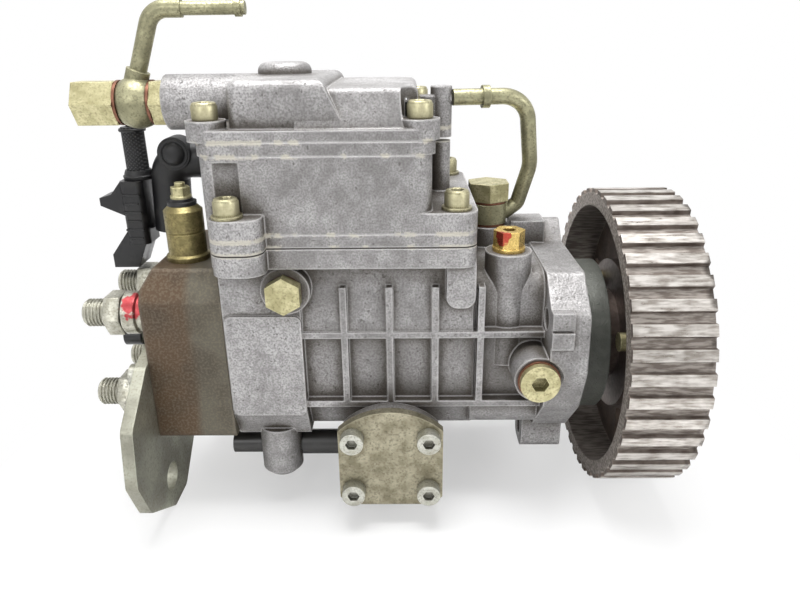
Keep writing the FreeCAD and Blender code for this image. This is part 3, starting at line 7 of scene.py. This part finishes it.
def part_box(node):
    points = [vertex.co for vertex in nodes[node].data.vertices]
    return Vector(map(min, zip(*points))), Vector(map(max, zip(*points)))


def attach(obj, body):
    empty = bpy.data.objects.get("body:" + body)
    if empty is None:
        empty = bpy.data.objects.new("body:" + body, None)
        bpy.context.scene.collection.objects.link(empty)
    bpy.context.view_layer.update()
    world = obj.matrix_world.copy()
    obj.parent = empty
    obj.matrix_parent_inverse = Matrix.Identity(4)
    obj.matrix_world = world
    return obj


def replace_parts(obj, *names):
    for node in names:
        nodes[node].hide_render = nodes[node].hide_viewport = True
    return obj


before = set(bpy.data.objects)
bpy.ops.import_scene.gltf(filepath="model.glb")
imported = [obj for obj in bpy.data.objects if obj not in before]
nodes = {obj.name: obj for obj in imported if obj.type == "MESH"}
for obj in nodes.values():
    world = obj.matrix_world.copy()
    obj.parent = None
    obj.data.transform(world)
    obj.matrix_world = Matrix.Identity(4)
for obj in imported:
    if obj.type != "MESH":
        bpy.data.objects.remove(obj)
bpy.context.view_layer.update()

# The camera stands a little above the pump, at the near side, as the photographer held it.
# Its place and angles (in degrees) come from the view that was fitted to the pump's own sizes.
camera_place = Vector((-0.070019, -0.284741, 0.12942))
camera_down, camera_turn, camera_roll = 21.64, -0.811, -0.683
camera = bpy.data.objects.new("camera", bpy.data.cameras.new("camera"))
camera.data.sensor_width = 36.0
camera.data.lens = 30.028
camera.data.clip_start = 0.01
down, turn, roll = (math.radians(a) for a in (camera_down, camera_turn, camera_roll))
forward = Vector((math.sin(turn) * math.cos(down), math.cos(turn) * math.cos(down), -math.sin(down)))
level = Vector((math.cos(turn), -math.sin(turn), 0))
upward = level.cross(forward)
right = level * math.cos(roll) + upward * math.sin(roll)
top = upward * math.cos(roll) - level * math.sin(roll)
looking = Matrix((right, top, -forward)).transposed().to_4x4()
camera.matrix_world = Matrix.Translation(camera_place) @ looking
bpy.context.scene.collection.objects.link(camera)
bpy.context.scene.camera = camera
bpy.context.scene.view_settings.view_transform = "Standard"


# A wide pale floor under the bracket's foot and the belt wheel, tipped by the little that the
# pump leans. Its shadow is soft and light, and away from the pump the floor is plain white.
class Wire:
    """A socket of a material's tree, which sums, products and further nodes are built on."""

    def __init__(self, tree, socket=None):
        self.tree = tree
        self.socket = socket

    def node(self, kind, settings, inputs, output=0):
        """Add a node: its settings first, then the value or link of each input."""
        made = self.tree.nodes.new(kind)
        for name, value in settings.items():
            setattr(made, name, value)
        for name, value in inputs.items():
            if isinstance(value, Wire):
                self.tree.links.new(value.socket, made.inputs[name])
            else:
                made.inputs[name].default_value = value
        return Wire(self.tree, made.outputs[output] if len(made.outputs) else None)

    def math(self, operation, first, second=0.0):
        return self.node("ShaderNodeMath", {"operation": operation}, {0: first, 1: second})

    def __add__(self, other):
        return self.math("ADD", self, other)

    __radd__ = __add__

    def __mul__(self, other):
        return self.math("MULTIPLY", self, other)

    def __sub__(self, other):
        return self.math("SUBTRACT", self, other)

    def __rsub__(self, other):
        return self.math("SUBTRACT", other, self)

    def __pow__(self, other):
        return self.math("POWER", self, other)


def new_material(name):
    """An empty material and the start of its tree."""
    material = bpy.data.materials.new(name)
    material.use_nodes = True
    material.node_tree.nodes.clear()
    return material, Wire(material.node_tree)


def ramp(value, low, high):
    """Stretch the part of a value between low and high to the range from 0 to 1."""
    limits = {"Value": value, "From Min": low, "From Max": high}
    return value.node("ShaderNodeMapRange", {"clamp": True}, limits)


def object_place(tree):
    """Where a point of the surface lies in the pump's own frame."""
    return tree.node("ShaderNodeTexCoord", {}, {}, "Object")


def distance(tree, place, centre):
    return tree.node("ShaderNodeVectorMath", {"operation": "DISTANCE"}, {0: place, 1: centre}, "Value")


floor_wide = 8.0
foot_place = Vector((-0.181, 0.0, -0.0722))
lean_rise, lean_run = 0.0058, 0.209
floor_lean = Matrix.Rotation(-math.atan2(lean_rise, lean_run), 3, "Y")
mesh = bmesh.new()
bmesh.ops.create_grid(mesh, x_segments=2, y_segments=2, size=floor_wide)
bmesh.ops.rotate(mesh, verts=mesh.verts, cent=(0, 0, 0), matrix=floor_lean)
bmesh.ops.translate(mesh, verts=mesh.verts, vec=foot_place)
floor = bpy.data.objects.new("floor", bpy.data.meshes.new("floor"))
mesh.to_mesh(floor.data)
mesh.free()
bpy.context.scene.collection.objects.link(floor)

shade_centre = (-0.08, 0.0, -0.07)
shade_near, shade_far, shade_share = 0.05, 0.20, 0.55
paper_tone = (0.94, 0.94, 0.94, 1)
plain_white = (1, 1, 1, 1)
material, tree = new_material("studio_floor")
seen = tree.node("ShaderNodeLightPath", {}, {}, "Is Camera Ray")
away = ramp(distance(tree, object_place(tree), shade_centre), shade_near, shade_far)
paper = tree.node("ShaderNodeBsdfDiffuse", {}, {"Color": paper_tone})
white = tree.node("ShaderNodeEmission", {}, {"Color": plain_white, "Strength": 1.0})
fade = seen * (away * shade_share + (1 - shade_share))
both = tree.node("ShaderNodeMixShader", {}, {0: fade, 1: paper, 2: white})
tree.node("ShaderNodeOutputMaterial", {}, {"Surface": both})
floor.data.materials.append(material)

# The room is plain white wherever it is seen, but it lights the pump only weakly. Three broad
# lamps do the rest: one overhead, one at the near left and one at the near right.
room_light = 0.42
world = bpy.data.worlds.new("white_room")
world.use_nodes = True
world.node_tree.nodes.clear()
bpy.context.scene.world = world
tree = Wire(world.node_tree)
seen = sum(tree.node("ShaderNodeLightPath", {}, {}, ray)
           for ray in ("Is Camera Ray", "Is Glossy Ray", "Is Transmission Ray"))
walls = tree.node("ShaderNodeBackground", {}, {"Color": plain_white, "Strength": 1.0})
light = tree.node("ShaderNodeBackground", {}, {"Color": plain_white, "Strength": room_light})
room = tree.node("ShaderNodeMixShader", {}, {0: seen, 1: light, 2: walls})
tree.node("ShaderNodeOutputWorld", {}, {"Surface": room})

lamp_target = Vector((-0.07, 0.0, 0.03))
for name, place, size, power in (
        ("lamp_above", (-0.12, 0.02, 0.80), 0.50, 10.2),
        ("lamp_front", (-0.55, -0.90, 0.50), 0.45, 2.2),
        ("lamp_right", (0.75, -0.50, 0.45), 0.40, 2.6)):
    lamp = bpy.data.objects.new(name, bpy.data.lights.new(name, "AREA"))
    lamp.data.size = size
    lamp.data.energy = power
    aim = (lamp_target - Vector(place)).to_track_quat("-Z", "Y")
    lamp.matrix_world = Matrix.Translation(place) @ aim.to_matrix().to_4x4()
    bpy.context.scene.collection.objects.link(lamp)


# The castings: housing, spacer, adjuster box, band and lid are die-cast aluminium, sand-blasted
# dull grey, pitted, with a pale crust at the seams. Their corners are darkened by oily grime and
# painted shade, the colour grows darker towards the bottom, the edges are lightened by wear and a
# painted highlight, and the front end towards the belt wheel is painted dark as shade.
def mix(share, first, second):
    """Blend two colours by a share from 0 to 1."""
    first, second = (c if isinstance(c, Wire) else (*c, 1.0) for c in (first, second))
    return share.node("ShaderNodeMix", {"data_type": "RGBA"}, {0: share, 6: first, 7: second}, 2)


def along(tree, place, axis):
    return tree.node("ShaderNodeSeparateXYZ", {}, {"Vector": place}, axis)


def noise(tree, grain_mm, detail, place=None):
    """Cloudy noise whose patches are about as wide as grain_mm."""
    inputs = {"Vector": place or object_place(tree), "Scale": 1000.0 / grain_mm, "Detail": detail}
    return tree.node("ShaderNodeTexNoise", {}, inputs)


def soft_edges(tree, radius_mm):
    """The surface's direction with its edges rounded off."""
    return tree.node("ShaderNodeBevel", {"samples": 4}, {"Radius": radius_mm / 1000.0})


def edge_mask(tree, rounded):
    """How much the rounded direction departs from the flat one: 1 along edges."""
    flat = tree.node("ShaderNodeNewGeometry", {}, {}, "True Normal")
    same = tree.node("ShaderNodeVectorMath", {"operation": "DOT_PRODUCT"}, {0: rounded, 1: flat}, "Value")
    return ramp(1 - same, 0.01, 0.16)


def hollows(tree, samples, reach_mm):
    """How deep in a corner a point lies: 0 in the open."""
    inputs = {"Distance": reach_mm / 1000.0}
    return 1 - tree.node("ShaderNodeAmbientOcclusion", {"samples": samples}, inputs, "AO")


def bump(tree, height, depth_mm, strength, normal=None):
    inputs = {"Height": height, "Distance": depth_mm / 1000.0, "Strength": strength}
    if normal is not None:
        inputs["Normal"] = normal
    return tree.node("ShaderNodeBump", {}, inputs)


def finish(material, tree, colour, roughness, metallic, normal):
    """Close a material with the shader of a solid surface."""
    inputs = {"Base Color": colour, "Roughness": roughness, "Metallic": metallic, "Normal": normal}
    shader = tree.node("ShaderNodeBsdfPrincipled", {}, inputs)
    tree.node("ShaderNodeOutputMaterial", {}, {"Surface": shader})
    return material


def dress(material, *names):
    """Give pieces a finished material."""
    for name in names:
        nodes[name].data.materials.clear()
        nodes[name].data.materials.append(material)


def scaled(colour, share):
    return tuple(c * share for c in colour)


def cast_metal(name, pale, dark, grime_and_shade_tone, roughness, seams):
    """A cast surface: clouded, speckled, darkened by grime and painted shade in its corners and towards the
    bottom, lightened by wear and a painted highlight on its edges, painted dark as shade at its front end.
    """
    paste = (0.56, 0.53, 0.45)
    front_shade_dark, front_shade_pale = (0.050, 0.052, 0.045), (0.130, 0.135, 0.118)
    face_blend = 0.0004
    paste_half = 0.0012
    material, tree = new_material(name)
    place = object_place(tree)
    rounded = soft_edges(tree, 1.2)
    wear_and_highlight = edge_mask(tree, rounded)
    corner_dirt_and_shade = hollows(tree, 6, 11.0)
    cloud = noise(tree, 30.0, 6.0, place)
    patch = noise(tree, 5.0, 5.0, place)
    grain = noise(tree, 0.75, 4.0, place)
    fleck = ramp(noise(tree, 1.5, 4.0, place), 0.63, 0.70)
    height = along(tree, place, "Z")
    colour = mix(ramp(cloud * 0.6 + patch * 0.4, 0.40, 0.60), dark, pale)
    colour = mix(ramp(grain, 0.42, 0.58) * 0.55, colour, scaled(dark, 0.62))
    # Painted shade mixed with oily grime: corners, found by occlusion, and the lower parts are darkened.
    low = ramp(height, 0.02, -0.045)
    grime_and_shade_amount = corner_dirt_and_shade * 2.6 + (patch - 0.5) * 1.2 + (cloud - 0.5) * 0.8 + low * 0.18
    grime_and_shade_share = ramp(grime_and_shade_amount, 0.28, 0.90)
    colour = mix(grime_and_shade_share * 0.88, colour, grime_and_shade_tone)
    colour = mix(fleck * 0.45, colour, scaled(grime_and_shade_tone, 0.8))
    # Painted highlight, partly real wear: the edges are lightened far past the pale tone.
    colour = mix(wear_and_highlight * 0.68, colour, scaled(pale, 1.75))
    for seam in seams:
        off = height - seam
        line = ramp(off.math("ABSOLUTE", off) + (grain - 0.5) * 0.002, paste_half, paste_half / 2)
        crust = line * ramp(patch * 0.4 + cloud * 0.6, 0.48, 0.52)
        colour = mix(crust * 0.8, colour, paste)
    # Painted shade: the casting's front end, towards the belt wheel, is turned nearly black.
    front_shade = ramp(along(tree, place, "X"), -face_blend, face_blend)
    colour = mix(front_shade, colour, mix(patch, front_shade_dark, front_shade_pale))
    pits = bump(tree, grain + fleck * 0.6 + patch * 1.5, 0.25, 0.75, rounded)
    rough = roughness + (grain - 0.5) * 0.3 + grime_and_shade_share * 0.15
    return finish(material, tree, colour, rough, 0.30, pits)


seam_places = [corner.z for node in ("spacer_plate", "band_plate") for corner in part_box(node)]
cast_grey = cast_metal("cast_grey", pale=(0.47, 0.460, 0.460), dark=(0.245, 0.237, 0.234),
                       grime_and_shade_tone=(0.060, 0.049, 0.036), roughness=0.44, seams=seam_places)
dress(cast_grey, "pump_housing", "adjuster_housing", "band_plate", "top_cover", "spacer_plate")

# The hydraulic head: a forged and ground steel block that has gone brown with heat and fuel,
# and greyer in the band that stands next to the housing.
brown_from, brown_full = 0.1575, 0.1612
brown_skin, grey_skin = (0.084, 0.051, 0.028), (0.106, 0.096, 0.072)
dark_stain, pale_grain, rubbed_edge_and_highlight = (0.048, 0.037, 0.026), (0.200, 0.168, 0.118), (0.30, 0.26, 0.21)
material, tree = new_material("browned_steel")
rounded = soft_edges(tree, 2.2)
wear_and_highlight = edge_mask(tree, rounded)
cloud = noise(tree, 16.0, 6.0)
grain = noise(tree, 1.0, 4.0)
rearward = 0 - along(tree, object_place(tree), "X")
brown_side = ramp(rearward + (cloud - 0.5) * 0.006, brown_from, brown_full)
colour = mix(brown_side, grey_skin, brown_skin)
colour = mix(ramp(cloud, 0.42, 0.62) * 0.6, colour, dark_stain)
colour = mix(ramp(grain, 0.46, 0.60) * 0.35, colour, pale_grain)
# Painted highlight, partly real wear: the head's edges are lightened.
colour = mix(wear_and_highlight * 0.5, colour, rubbed_edge_and_highlight)
rough = 0.52 + (grain - 0.5) * 0.4
finish(material, tree, colour, rough, 0.45, bump(tree, grain, 0.10, 0.6, rounded))
dress(material, "hydraulic_head")


# Zinc-plated parts: bolts, plugs, covers, pipes and the stay. The plating has gone mottled,
# yellow-green on some and pale grey on others, with dark stains. Hollows are darkened by stain and
# painted shade, and edges are lightened by wear and a painted highlight.
def zinc(name, bright, dull, stain, spread_mm, roughness=0.34, paint=(), speck=0.55):
    """Old plating, with a daub of red sealing paint at each place given as (centre, reach in mm)."""
    sealing_red = (0.42, 0.012, 0.030)
    material, tree = new_material(name)
    place = object_place(tree)
    rounded = soft_edges(tree, 0.6)
    wear_and_highlight = edge_mask(tree, rounded)
    corner_dirt_and_shade = hollows(tree, 4, 5.0)
    cloud = noise(tree, spread_mm, 6.0, place)
    fleck = noise(tree, 0.9, 5.0, place)
    colour = mix(ramp(cloud, 0.38, 0.62), dull, bright)
    colour = mix(ramp(fleck + (cloud - 0.5) * 0.3, 0.50, 0.72) * speck, colour, stain)
    # Painted shade, partly stain: hollows are darkened towards the stain colour.
    colour = mix(ramp(corner_dirt_and_shade, 0.25, 0.75) * 0.8, colour, scaled(stain, 0.7))
    # Painted highlight, partly real wear: the edges are lightened past the bright tone.
    colour = mix(wear_and_highlight * 0.6, colour, scaled(bright, 1.35))
    for centre, reach_mm in paint:
        near = distance(tree, place, centre) * (1000.0 / reach_mm)
        daub = ramp(near + (cloud - 0.5) * 1.6, 1.0, 0.85)
        colour = mix(daub * 0.85, colour, sealing_red)
    rough = roughness + ramp(fleck, 0.4, 0.7) * 0.25
    pits = bump(tree, fleck + cloud * 2.0, 0.08, 0.6, rounded)
    return finish(material, tree, colour, rough, 0.80, pits)


yellow_zinc = zinc("yellow_zinc", (0.56, 0.52, 0.31), (0.36, 0.33, 0.18), (0.13, 0.11, 0.055), 4.0)
pale_zinc = zinc("pale_zinc", (0.52, 0.52, 0.47), (0.36, 0.355, 0.30), (0.13, 0.12, 0.09), 4.0)
olive_zinc = zinc("olive_zinc", (0.38, 0.365, 0.23), (0.25, 0.24, 0.15), (0.085, 0.075, 0.045), 6.0,
                  roughness=0.36)
stay_zinc = zinc("stay_zinc", (0.40, 0.40, 0.33), (0.25, 0.245, 0.20), (0.12, 0.11, 0.08), 14.0,
                 roughness=0.36, speck=0.35)
cover_zinc = zinc("cover_zinc", (0.36, 0.335, 0.245), (0.205, 0.185, 0.125), (0.085, 0.070, 0.045), 6.0,
                  roughness=0.42, speck=0.45)
dress(yellow_zinc, "socket_plug", "hex_plug", "hex_cap", "return_nut", "solenoid_terminal", "vent_bolt",
      "hub_bolts", "hub_nut")
dress(pale_zinc, "bracket_screws", "timing_screws")
dress(stay_zinc, "rear_bracket")
dress(cover_zinc, "timing_covers")
dress(olive_zinc, "return_banjo", "vent_pipe")

# The cut-off's magnet body stands upright on the head. It is of olive-brown plated brass,
# scratched and stained, with a rolled groove.
brass = zinc("olive_brass", (0.30, 0.25, 0.11), (0.19, 0.16, 0.070), (0.07, 0.06, 0.03), 3.0,
             roughness=0.33)
dress(brass, "cutoff_solenoid")

# The pressure valve is plated in bright gold. Its near left corner has been sealed with a daub
# of red paint, so that nobody turns it.
valve_low, valve_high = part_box("pressure_valve")
valve_middle = (valve_low + valve_high) / 2
valve_daub = ((valve_middle.x - 0.004, valve_middle.y - 0.005, valve_high.z - 0.002), 4.0)
gold = zinc("gold_plate", (0.75, 0.55, 0.19), (0.52, 0.36, 0.11), (0.25, 0.16, 0.05), 3.0,
            roughness=0.25, paint=[valve_daub])
dress(gold, "pressure_valve")


# The steel, bronze and copper parts: the shaft with its hub, the pumping parts inside, the
# bush, the washers and the winding. They are machined, with faint streaks from the tool.
def steel(name, colour, roughness, streak_mm=2.0):
    """A machined metal, slightly streaked."""
    material, tree = new_material(name)
    line = noise(tree, streak_mm, 4.0)
    tone = mix(ramp(line, 0.35, 0.7), colour, scaled(colour, 0.7))
    return finish(material, tree, tone, roughness + (line - 0.5) * 0.2, 0.95, soft_edges(tree, 0.3))


dress(steel("machined_steel", (0.52, 0.51, 0.50), 0.34),
      "drive_shaft", "plunger_barrel", "delivery_valves", "solenoid_armature", "timing_piston",
      "timing_spring", "roller_ring", "rollers", "cam_plate", "cross_coupling",
      "feed_pump_ring", "feed_pump_cover", "feed_pump_rotor", "feed_pump_vanes", "plunger",
      "control_collar", "adjuster_rotor", "stator", "spring_yoke", "plunger_springs")
dress(steel("dark_steel", (0.16, 0.13, 0.115), 0.45), "hub")
dress(steel("bearing_bronze", (0.50, 0.36, 0.18), 0.4), "shaft_bush")
dress(steel("soft_copper", (0.22, 0.105, 0.070), 0.45, 1.0), "copper_washers")
dress(steel("varnished_winding", (0.30, 0.11, 0.05), 0.4, 0.6), "magnet_coil")

# The belt wheel: sintered steel. The belt has polished its lands, while the grooves and the back
# keep a dark brown skin of rust and belt dust. The flanks of the teeth are painted dark as shade,
# and the web is near black, partly with rust and partly as painted shade.
rim_r, root_r = 0.0662, 0.0641
web_r, skirt_r = 0.0575, 0.0590
end_from, end_full = 0.0030, 0.0012
wheel_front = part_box("sprocket")[1].x
land_dull, land_bright = (0.30, 0.27, 0.24), (0.62, 0.59, 0.555)
flank_shade_dark, flank_shade_pale = (0.095, 0.074, 0.062), (0.250, 0.215, 0.190)
groove_dark, groove_pale = (0.16, 0.135, 0.118), (0.36, 0.33, 0.30)
web_dark, web_pale = (0.045, 0.034, 0.028), (0.090, 0.066, 0.052)
end_dirt = (0.050, 0.040, 0.033)
material, tree = new_material("belt_wheel_steel")
rounded = soft_edges(tree, 0.45)
place = object_place(tree)
wheel_x, wheel_y, wheel_z = (along(tree, place, axis) for axis in "XYZ")
radius = (wheel_y * wheel_y + wheel_z * wheel_z) ** 0.5
land = ramp(radius, rim_r - 0.0004, rim_r - 0.0001)
flank_shade = ramp(radius, root_r + 0.0001, root_r + 0.0004) * (1 - land)
skirt = ramp(radius, web_r, skirt_r)
end = ramp(wheel_x, wheel_front - end_from, wheel_front - end_full) * skirt
stretched = tree.node("ShaderNodeMapping", {}, {"Vector": place, "Scale": (0.16, 1.0, 1.0)})
streak = noise(tree, 1.1, 6.0, stretched)
cloud = noise(tree, 7.0, 6.0)
# Partly rust, partly painted shade: the web inside the rim is near black.
web = mix(ramp(cloud, 0.3, 0.7), web_dark, web_pale)
colour = mix(skirt, web, mix(ramp(streak, 0.42, 0.60), groove_dark, groove_pale))
# Painted shade: the flanks of the teeth are darker than both the lands and the groove floors.
colour = mix(flank_shade, colour, mix(ramp(streak * 0.5 + cloud * 0.5, 0.40, 0.60), flank_shade_dark, flank_shade_pale))
colour = mix(land, colour, mix(ramp(streak * 0.6 + cloud * 0.4, 0.40, 0.58), land_dull, land_bright))
colour = mix(end * ramp(cloud, 0.44, 0.56) * 0.8, colour, end_dirt)
rough = 0.62 - land * 0.30 + (streak - 0.5) * 0.3
finish(material, tree, colour, rough, 0.75, bump(tree, streak + cloud, 0.10, 0.5, rounded))
dress(material, "sprocket")


# The black parts: moulded plastic connector and caps, rubber elbow, lead and seal, the magnet
# valve's oily lacquer and the gasket. All of them are dusty.
def black(name, tone, roughness, grain_mm, depth_mm):
    """A black surface with a little grain and dust."""
    dust_tone = (0.09, 0.085, 0.08)
    material, tree = new_material(name)
    dust = ramp(noise(tree, 7.0, 6.0), 0.54, 0.78)
    colour = mix(dust * 0.25, tone, dust_tone)
    grain = bump(tree, noise(tree, grain_mm, 4.0), depth_mm, 0.5, soft_edges(tree, 0.6))
    return finish(material, tree, colour, roughness + dust * 0.25, 0.0, grain)


plastic = black("moulded_black", (0.010, 0.010, 0.011), 0.34, 0.8, 0.04)
rubber = black("black_rubber", (0.009, 0.009, 0.010), 0.46, 1.2, 0.06)
dress(plastic, "connector", "plug_cap", "solenoid_insulator")
dress(rubber, "harness_elbow", "harness_lead", "shaft_seal")
dress(black("oily_lacquer", (0.022, 0.021, 0.020), 0.30, 1.6, 0.03), "magnet_valve")
dress(black("gasket_sheet", (0.050, 0.045, 0.040), 0.8, 0.6, 0.05), "deck_gasket")

# The braided sleeve: two sets of black threads that cross each other slantwise, with the
# thicker crossings worn a little paler.
thread_lean, threads = 0.8, 260.0
thread_dark, thread_pale = (0.012, 0.012, 0.013), (0.075, 0.075, 0.080)
material, tree = new_material("braided_sleeve")
place = object_place(tree)
waves = []
for lean in (-thread_lean, thread_lean):
    turned = tree.node("ShaderNodeMapping", {}, {"Vector": place, "Rotation": (0, lean, 0)})
    inputs = {"Vector": turned, "Scale": threads}
    waves.append(tree.node("ShaderNodeTexWave", {"bands_direction": "X"}, inputs, "Fac"))
weave = waves[0] * waves[1]
finish(material, tree, mix(weave, thread_dark, thread_pale), 0.7, 0.0, bump(tree, weave, 0.35, 0.8))
dress(material, "harness_sleeve")


# The four outlets: threaded steel stubs with a hexagon, a collar and a neck down to the head.
# The threads are turned ridges, and two of the collars have daubs of red paint.
def piece(name, mesh, body, material, smooth_angle=35.0):
    """Close a mesh as a new piece of the pump."""
    bmesh.ops.remove_doubles(mesh, verts=mesh.verts, dist=1e-6)
    bmesh.ops.recalc_face_normals(mesh, faces=mesh.faces)
    made = bpy.data.objects.new(name, bpy.data.meshes.new(name))
    for face in mesh.faces:
        face.smooth = True
    for edge in mesh.edges:
        edge.smooth = len(edge.link_faces) == 2 and edge.calc_face_angle(0.0) < math.radians(smooth_angle)
    mesh.to_mesh(made.data)
    mesh.free()
    made.data.materials.append(material)
    bpy.context.scene.collection.objects.link(made)
    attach(made, body)
    return made


def lathe(mesh, profile, centre, axis):
    """Spin (distance along, radius) points, in mm, about an axis through a centre."""
    axis = Vector(axis)
    out = Vector((0, 0, 1)) if abs(axis.z) < 0.5 else Vector((1, 0, 0))
    ring = [mesh.verts.new(Vector(centre) + axis * (a / 1000) + out * (r / 1000)) for a, r in profile]
    edges = [mesh.edges.new(pair) for pair in zip(ring, ring[1:])]
    bmesh.ops.spin(mesh, geom=ring + edges, cent=centre, axis=axis, angle=math.tau, steps=40, use_merge=True)


def hexagon(mesh, centre, axis, flats, start, length):
    """A hexagonal bar, in mm, with its outer corners turned off."""
    chamfer = 0.7 / 1000
    axis = Vector(axis)
    corner_r = flats / 1000 / math.sqrt(3)
    made = bmesh.ops.create_cone(mesh, cap_ends=True, segments=6, radius1=corner_r, radius2=corner_r,
                                 depth=length / 1000)
    verts = made["verts"]
    laid = Vector((0, 0, 1)).rotation_difference(axis).to_matrix()
    bmesh.ops.rotate(mesh, verts=verts, cent=(0, 0, 0), matrix=laid)
    bmesh.ops.translate(mesh, verts=verts, vec=Vector(centre) + axis * ((start + length / 2) / 1000))
    ends = [e for e in mesh.edges if e.verts[0] in verts and e.verts[1] in verts
            and abs((e.verts[1].co - e.verts[0].co).normalized().dot(axis)) < 0.1]
    bmesh.ops.bevel(mesh, geom=ends, offset=chamfer, offset_type="OFFSET", segments=2, profile=0.5,
                    affect="EDGES", material=-1)


outlet_offset = 0.0193
outlet_flats, flats_start, flats_length = 17.0, 10.2, 7.2
thread_start, thread_pitch, thread_turns = 0.9, 1.5, 6
thread_root_r, thread_crest_r = 5.35, 6.05
head_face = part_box("hydraulic_head")[0].x
outlet_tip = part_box("delivery_holders")[0].x
daubs = [((head_face - 0.008, -outlet_offset - 0.006, outlet_offset + 0.006), 5.5),
         ((head_face - 0.006, outlet_offset - 0.004, outlet_offset + 0.008), 5.0)]
union_steel = zinc("union_steel", (0.52, 0.51, 0.44), (0.34, 0.33, 0.27), (0.11, 0.10, 0.075), 3.0,
                   roughness=0.33, paint=daubs)
dress(union_steel, "central_plug")
bore = [(9.0, 0.0), (9.0, 1.6), (3.5, 1.6), (0.4, 3.5), (0.0, 3.9), (0.0, 4.9), (0.6, 5.5)]
ridges = []
for i in range(thread_turns):
    a = thread_start + i * thread_pitch
    ridges += [(a, thread_root_r), (a + 0.55, thread_crest_r), (a + 0.8, thread_crest_r),
               (a + 1.3, thread_root_r)]
neck = [(10.2, 5.2), (17.2, 5.2), (17.2, 7.6), (17.7, 7.6)]
collar = [(17.8, 8.7), (18.3, 9.3), (23.4, 9.3), (24.0, 8.7), (24.2, 8.2), (29.6, 8.2), (29.6, 0.0)]
for y in (-outlet_offset, outlet_offset):
    for z in (-outlet_offset, outlet_offset):
        mesh = bmesh.new()
        centre = (outlet_tip, y, z)
        lathe(mesh, bore + ridges + neck + collar, centre, (1, 0, 0))
        hexagon(mesh, centre, (1, 0, 0), outlet_flats, flats_start, flats_length)
        name = "outlet_" + ("near" if y < 0 else "far") + ("_low" if z < 0 else "_top")
        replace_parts(piece(name, mesh, "pump", union_steel), "delivery_holders")


# The socket screws of the lid and of the adjuster box: knurled heads with a turned edge, a
# washer face and a hexagon socket, each on its shank down into the casting.
def band(mesh, one, two):
    """The faces between two closed rings of equally many points."""
    for i in range(len(one)):
        j = (i + 1) % len(one)
        mesh.faces.new((one[i], one[j], two[j], two[i]))


screw_head_r, screw_head_h = 4.8, 6.3
knurls, knurl_depth = 36, 0.30
socket_half, socket_depth = 2.3, 3.2


def socket_screw(mesh, x, y, low, seat, washer_r, washer_t, shank_r):
    """A knurled cap screw standing on z, in mm, closed all round."""
    steps = 2 * knurls
    turns = [math.tau * i / steps for i in range(steps)]

    def ring(z, radii):
        return [mesh.verts.new(((x + r * math.cos(a)) / 1000, (y + r * math.sin(a)) / 1000, z / 1000))
                for a, r in zip(turns, radii)]

    base = seat + washer_t
    top = base + screw_head_h
    profile = [(low, shank_r, 0), (base - max(washer_t, 0.01), shank_r, 0)]
    if washer_t:
        profile += [(seat, washer_r, 0), (base, washer_r, 0)]
    profile += [(base, screw_head_r - 0.3, 0), (base + 0.6, screw_head_r, 1), (top - 1.3, screw_head_r, 1),
                (top - 0.9, screw_head_r - 0.35, 0), (top - 0.3, screw_head_r - 0.5, 0),
                (top, screw_head_r - 1.0, 0)]
    outer = [ring(z, [r - knurl_depth * knurled * (i % 2) for i in range(steps)])
             for z, r, knurled in profile]
    sixth = math.pi / 3
    flats = [socket_half / math.cos(a % sixth - sixth / 2) for a in turns]
    inner = [ring(top - depth, [r * share for r in flats])
             for depth, share in ((0.0, 1.12), (0.5, 1.0), (socket_depth, 1.0))]
    for one, two in zip(outer + inner, outer[1:] + inner):
        band(mesh, one, two)
    mesh.faces.new(outer[0][::-1])
    mesh.faces.new(inner[-1])


screw_zinc = zinc("screw_zinc", (0.46, 0.43, 0.28), (0.27, 0.25, 0.15), (0.085, 0.07, 0.04), 2.5,
                  roughness=0.36)
for node, wide, washer_t, shank_r, inset in (
        ("cover_screws", 4.8, 0.0, 2.9, 0.0),
        ("adjuster_screws", 5.8, 1.2, 3.0, 11.0)):
    low, high = (corner * 1000 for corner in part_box(node))
    seat = high.z - screw_head_h - washer_t
    mesh = bmesh.new()
    for side in (-1, 1):
        for x, y in ((low.x + wide, high.y - wide), (high.x - wide, high.y - wide - inset)):
            socket_screw(mesh, x, side * y, low.z, seat, wide, washer_t, shank_r)
    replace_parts(piece(node + "_knurled", mesh, "pump", screw_zinc, 50.0), node)


# The connector's small parts: a collar and a loose end of braid where the sleeve enters it, the
# ridges of its lock, and the domed cap on the elbow's flat eye.
sleeve_low, sleeve_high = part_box("harness_sleeve")
sleeve_mid = (sleeve_low + sleeve_high) / 2
mesh = bmesh.new()
lathe(mesh, [(0.0, 5.0), (0.0, 6.6), (1.6, 6.9), (2.0, 6.3), (2.6, 6.2), (4.2, 5.6), (4.2, 5.0)],
      (sleeve_mid.x, sleeve_mid.y, sleeve_low.z), (0, 0, 1))
lathe(mesh, [(-0.5, 5.0), (-0.5, 5.6), (-1.2, 5.9), (-1.9, 5.6), (-1.9, 5.0)],
      (sleeve_mid.x, sleeve_mid.y, sleeve_high.z), (0, 0, 1))
piece("sleeve_collars", mesh, "pump", rubber)

ridge_low, ridge_step, ridge_count = 0.044, 0.004, 6
ridge_deep, ridge_high = 0.0012, 0.0009
connector_low, connector_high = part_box("connector")
mesh = bmesh.new()
for i in range(ridge_count):
    wide = 0.0082 if i % 2 else 0.0064
    place = (connector_high.x - 0.0055, connector_low.y + 0.0002, ridge_low + i * ridge_step)
    made = bmesh.ops.create_cube(mesh, size=1.0)
    bmesh.ops.scale(mesh, verts=made["verts"], vec=(wide, ridge_deep, ridge_high))
    bmesh.ops.translate(mesh, verts=made["verts"], vec=place)
piece("connector_ridges", mesh, "pump", plastic)

eye_place = (-0.1730, 0.0106, 0.0820)
mesh = bmesh.new()
lathe(mesh, [(0.0, 6.4), (-0.5, 6.4), (-0.6, 5.4), (-0.2, 5.0), (-0.8, 4.6), (-1.5, 3.6), (-2.0, 2.0),
             (-2.1, 0.0)], eye_place, (0, 1, 0))
piece("elbow_cap", mesh, "pump", rubber)
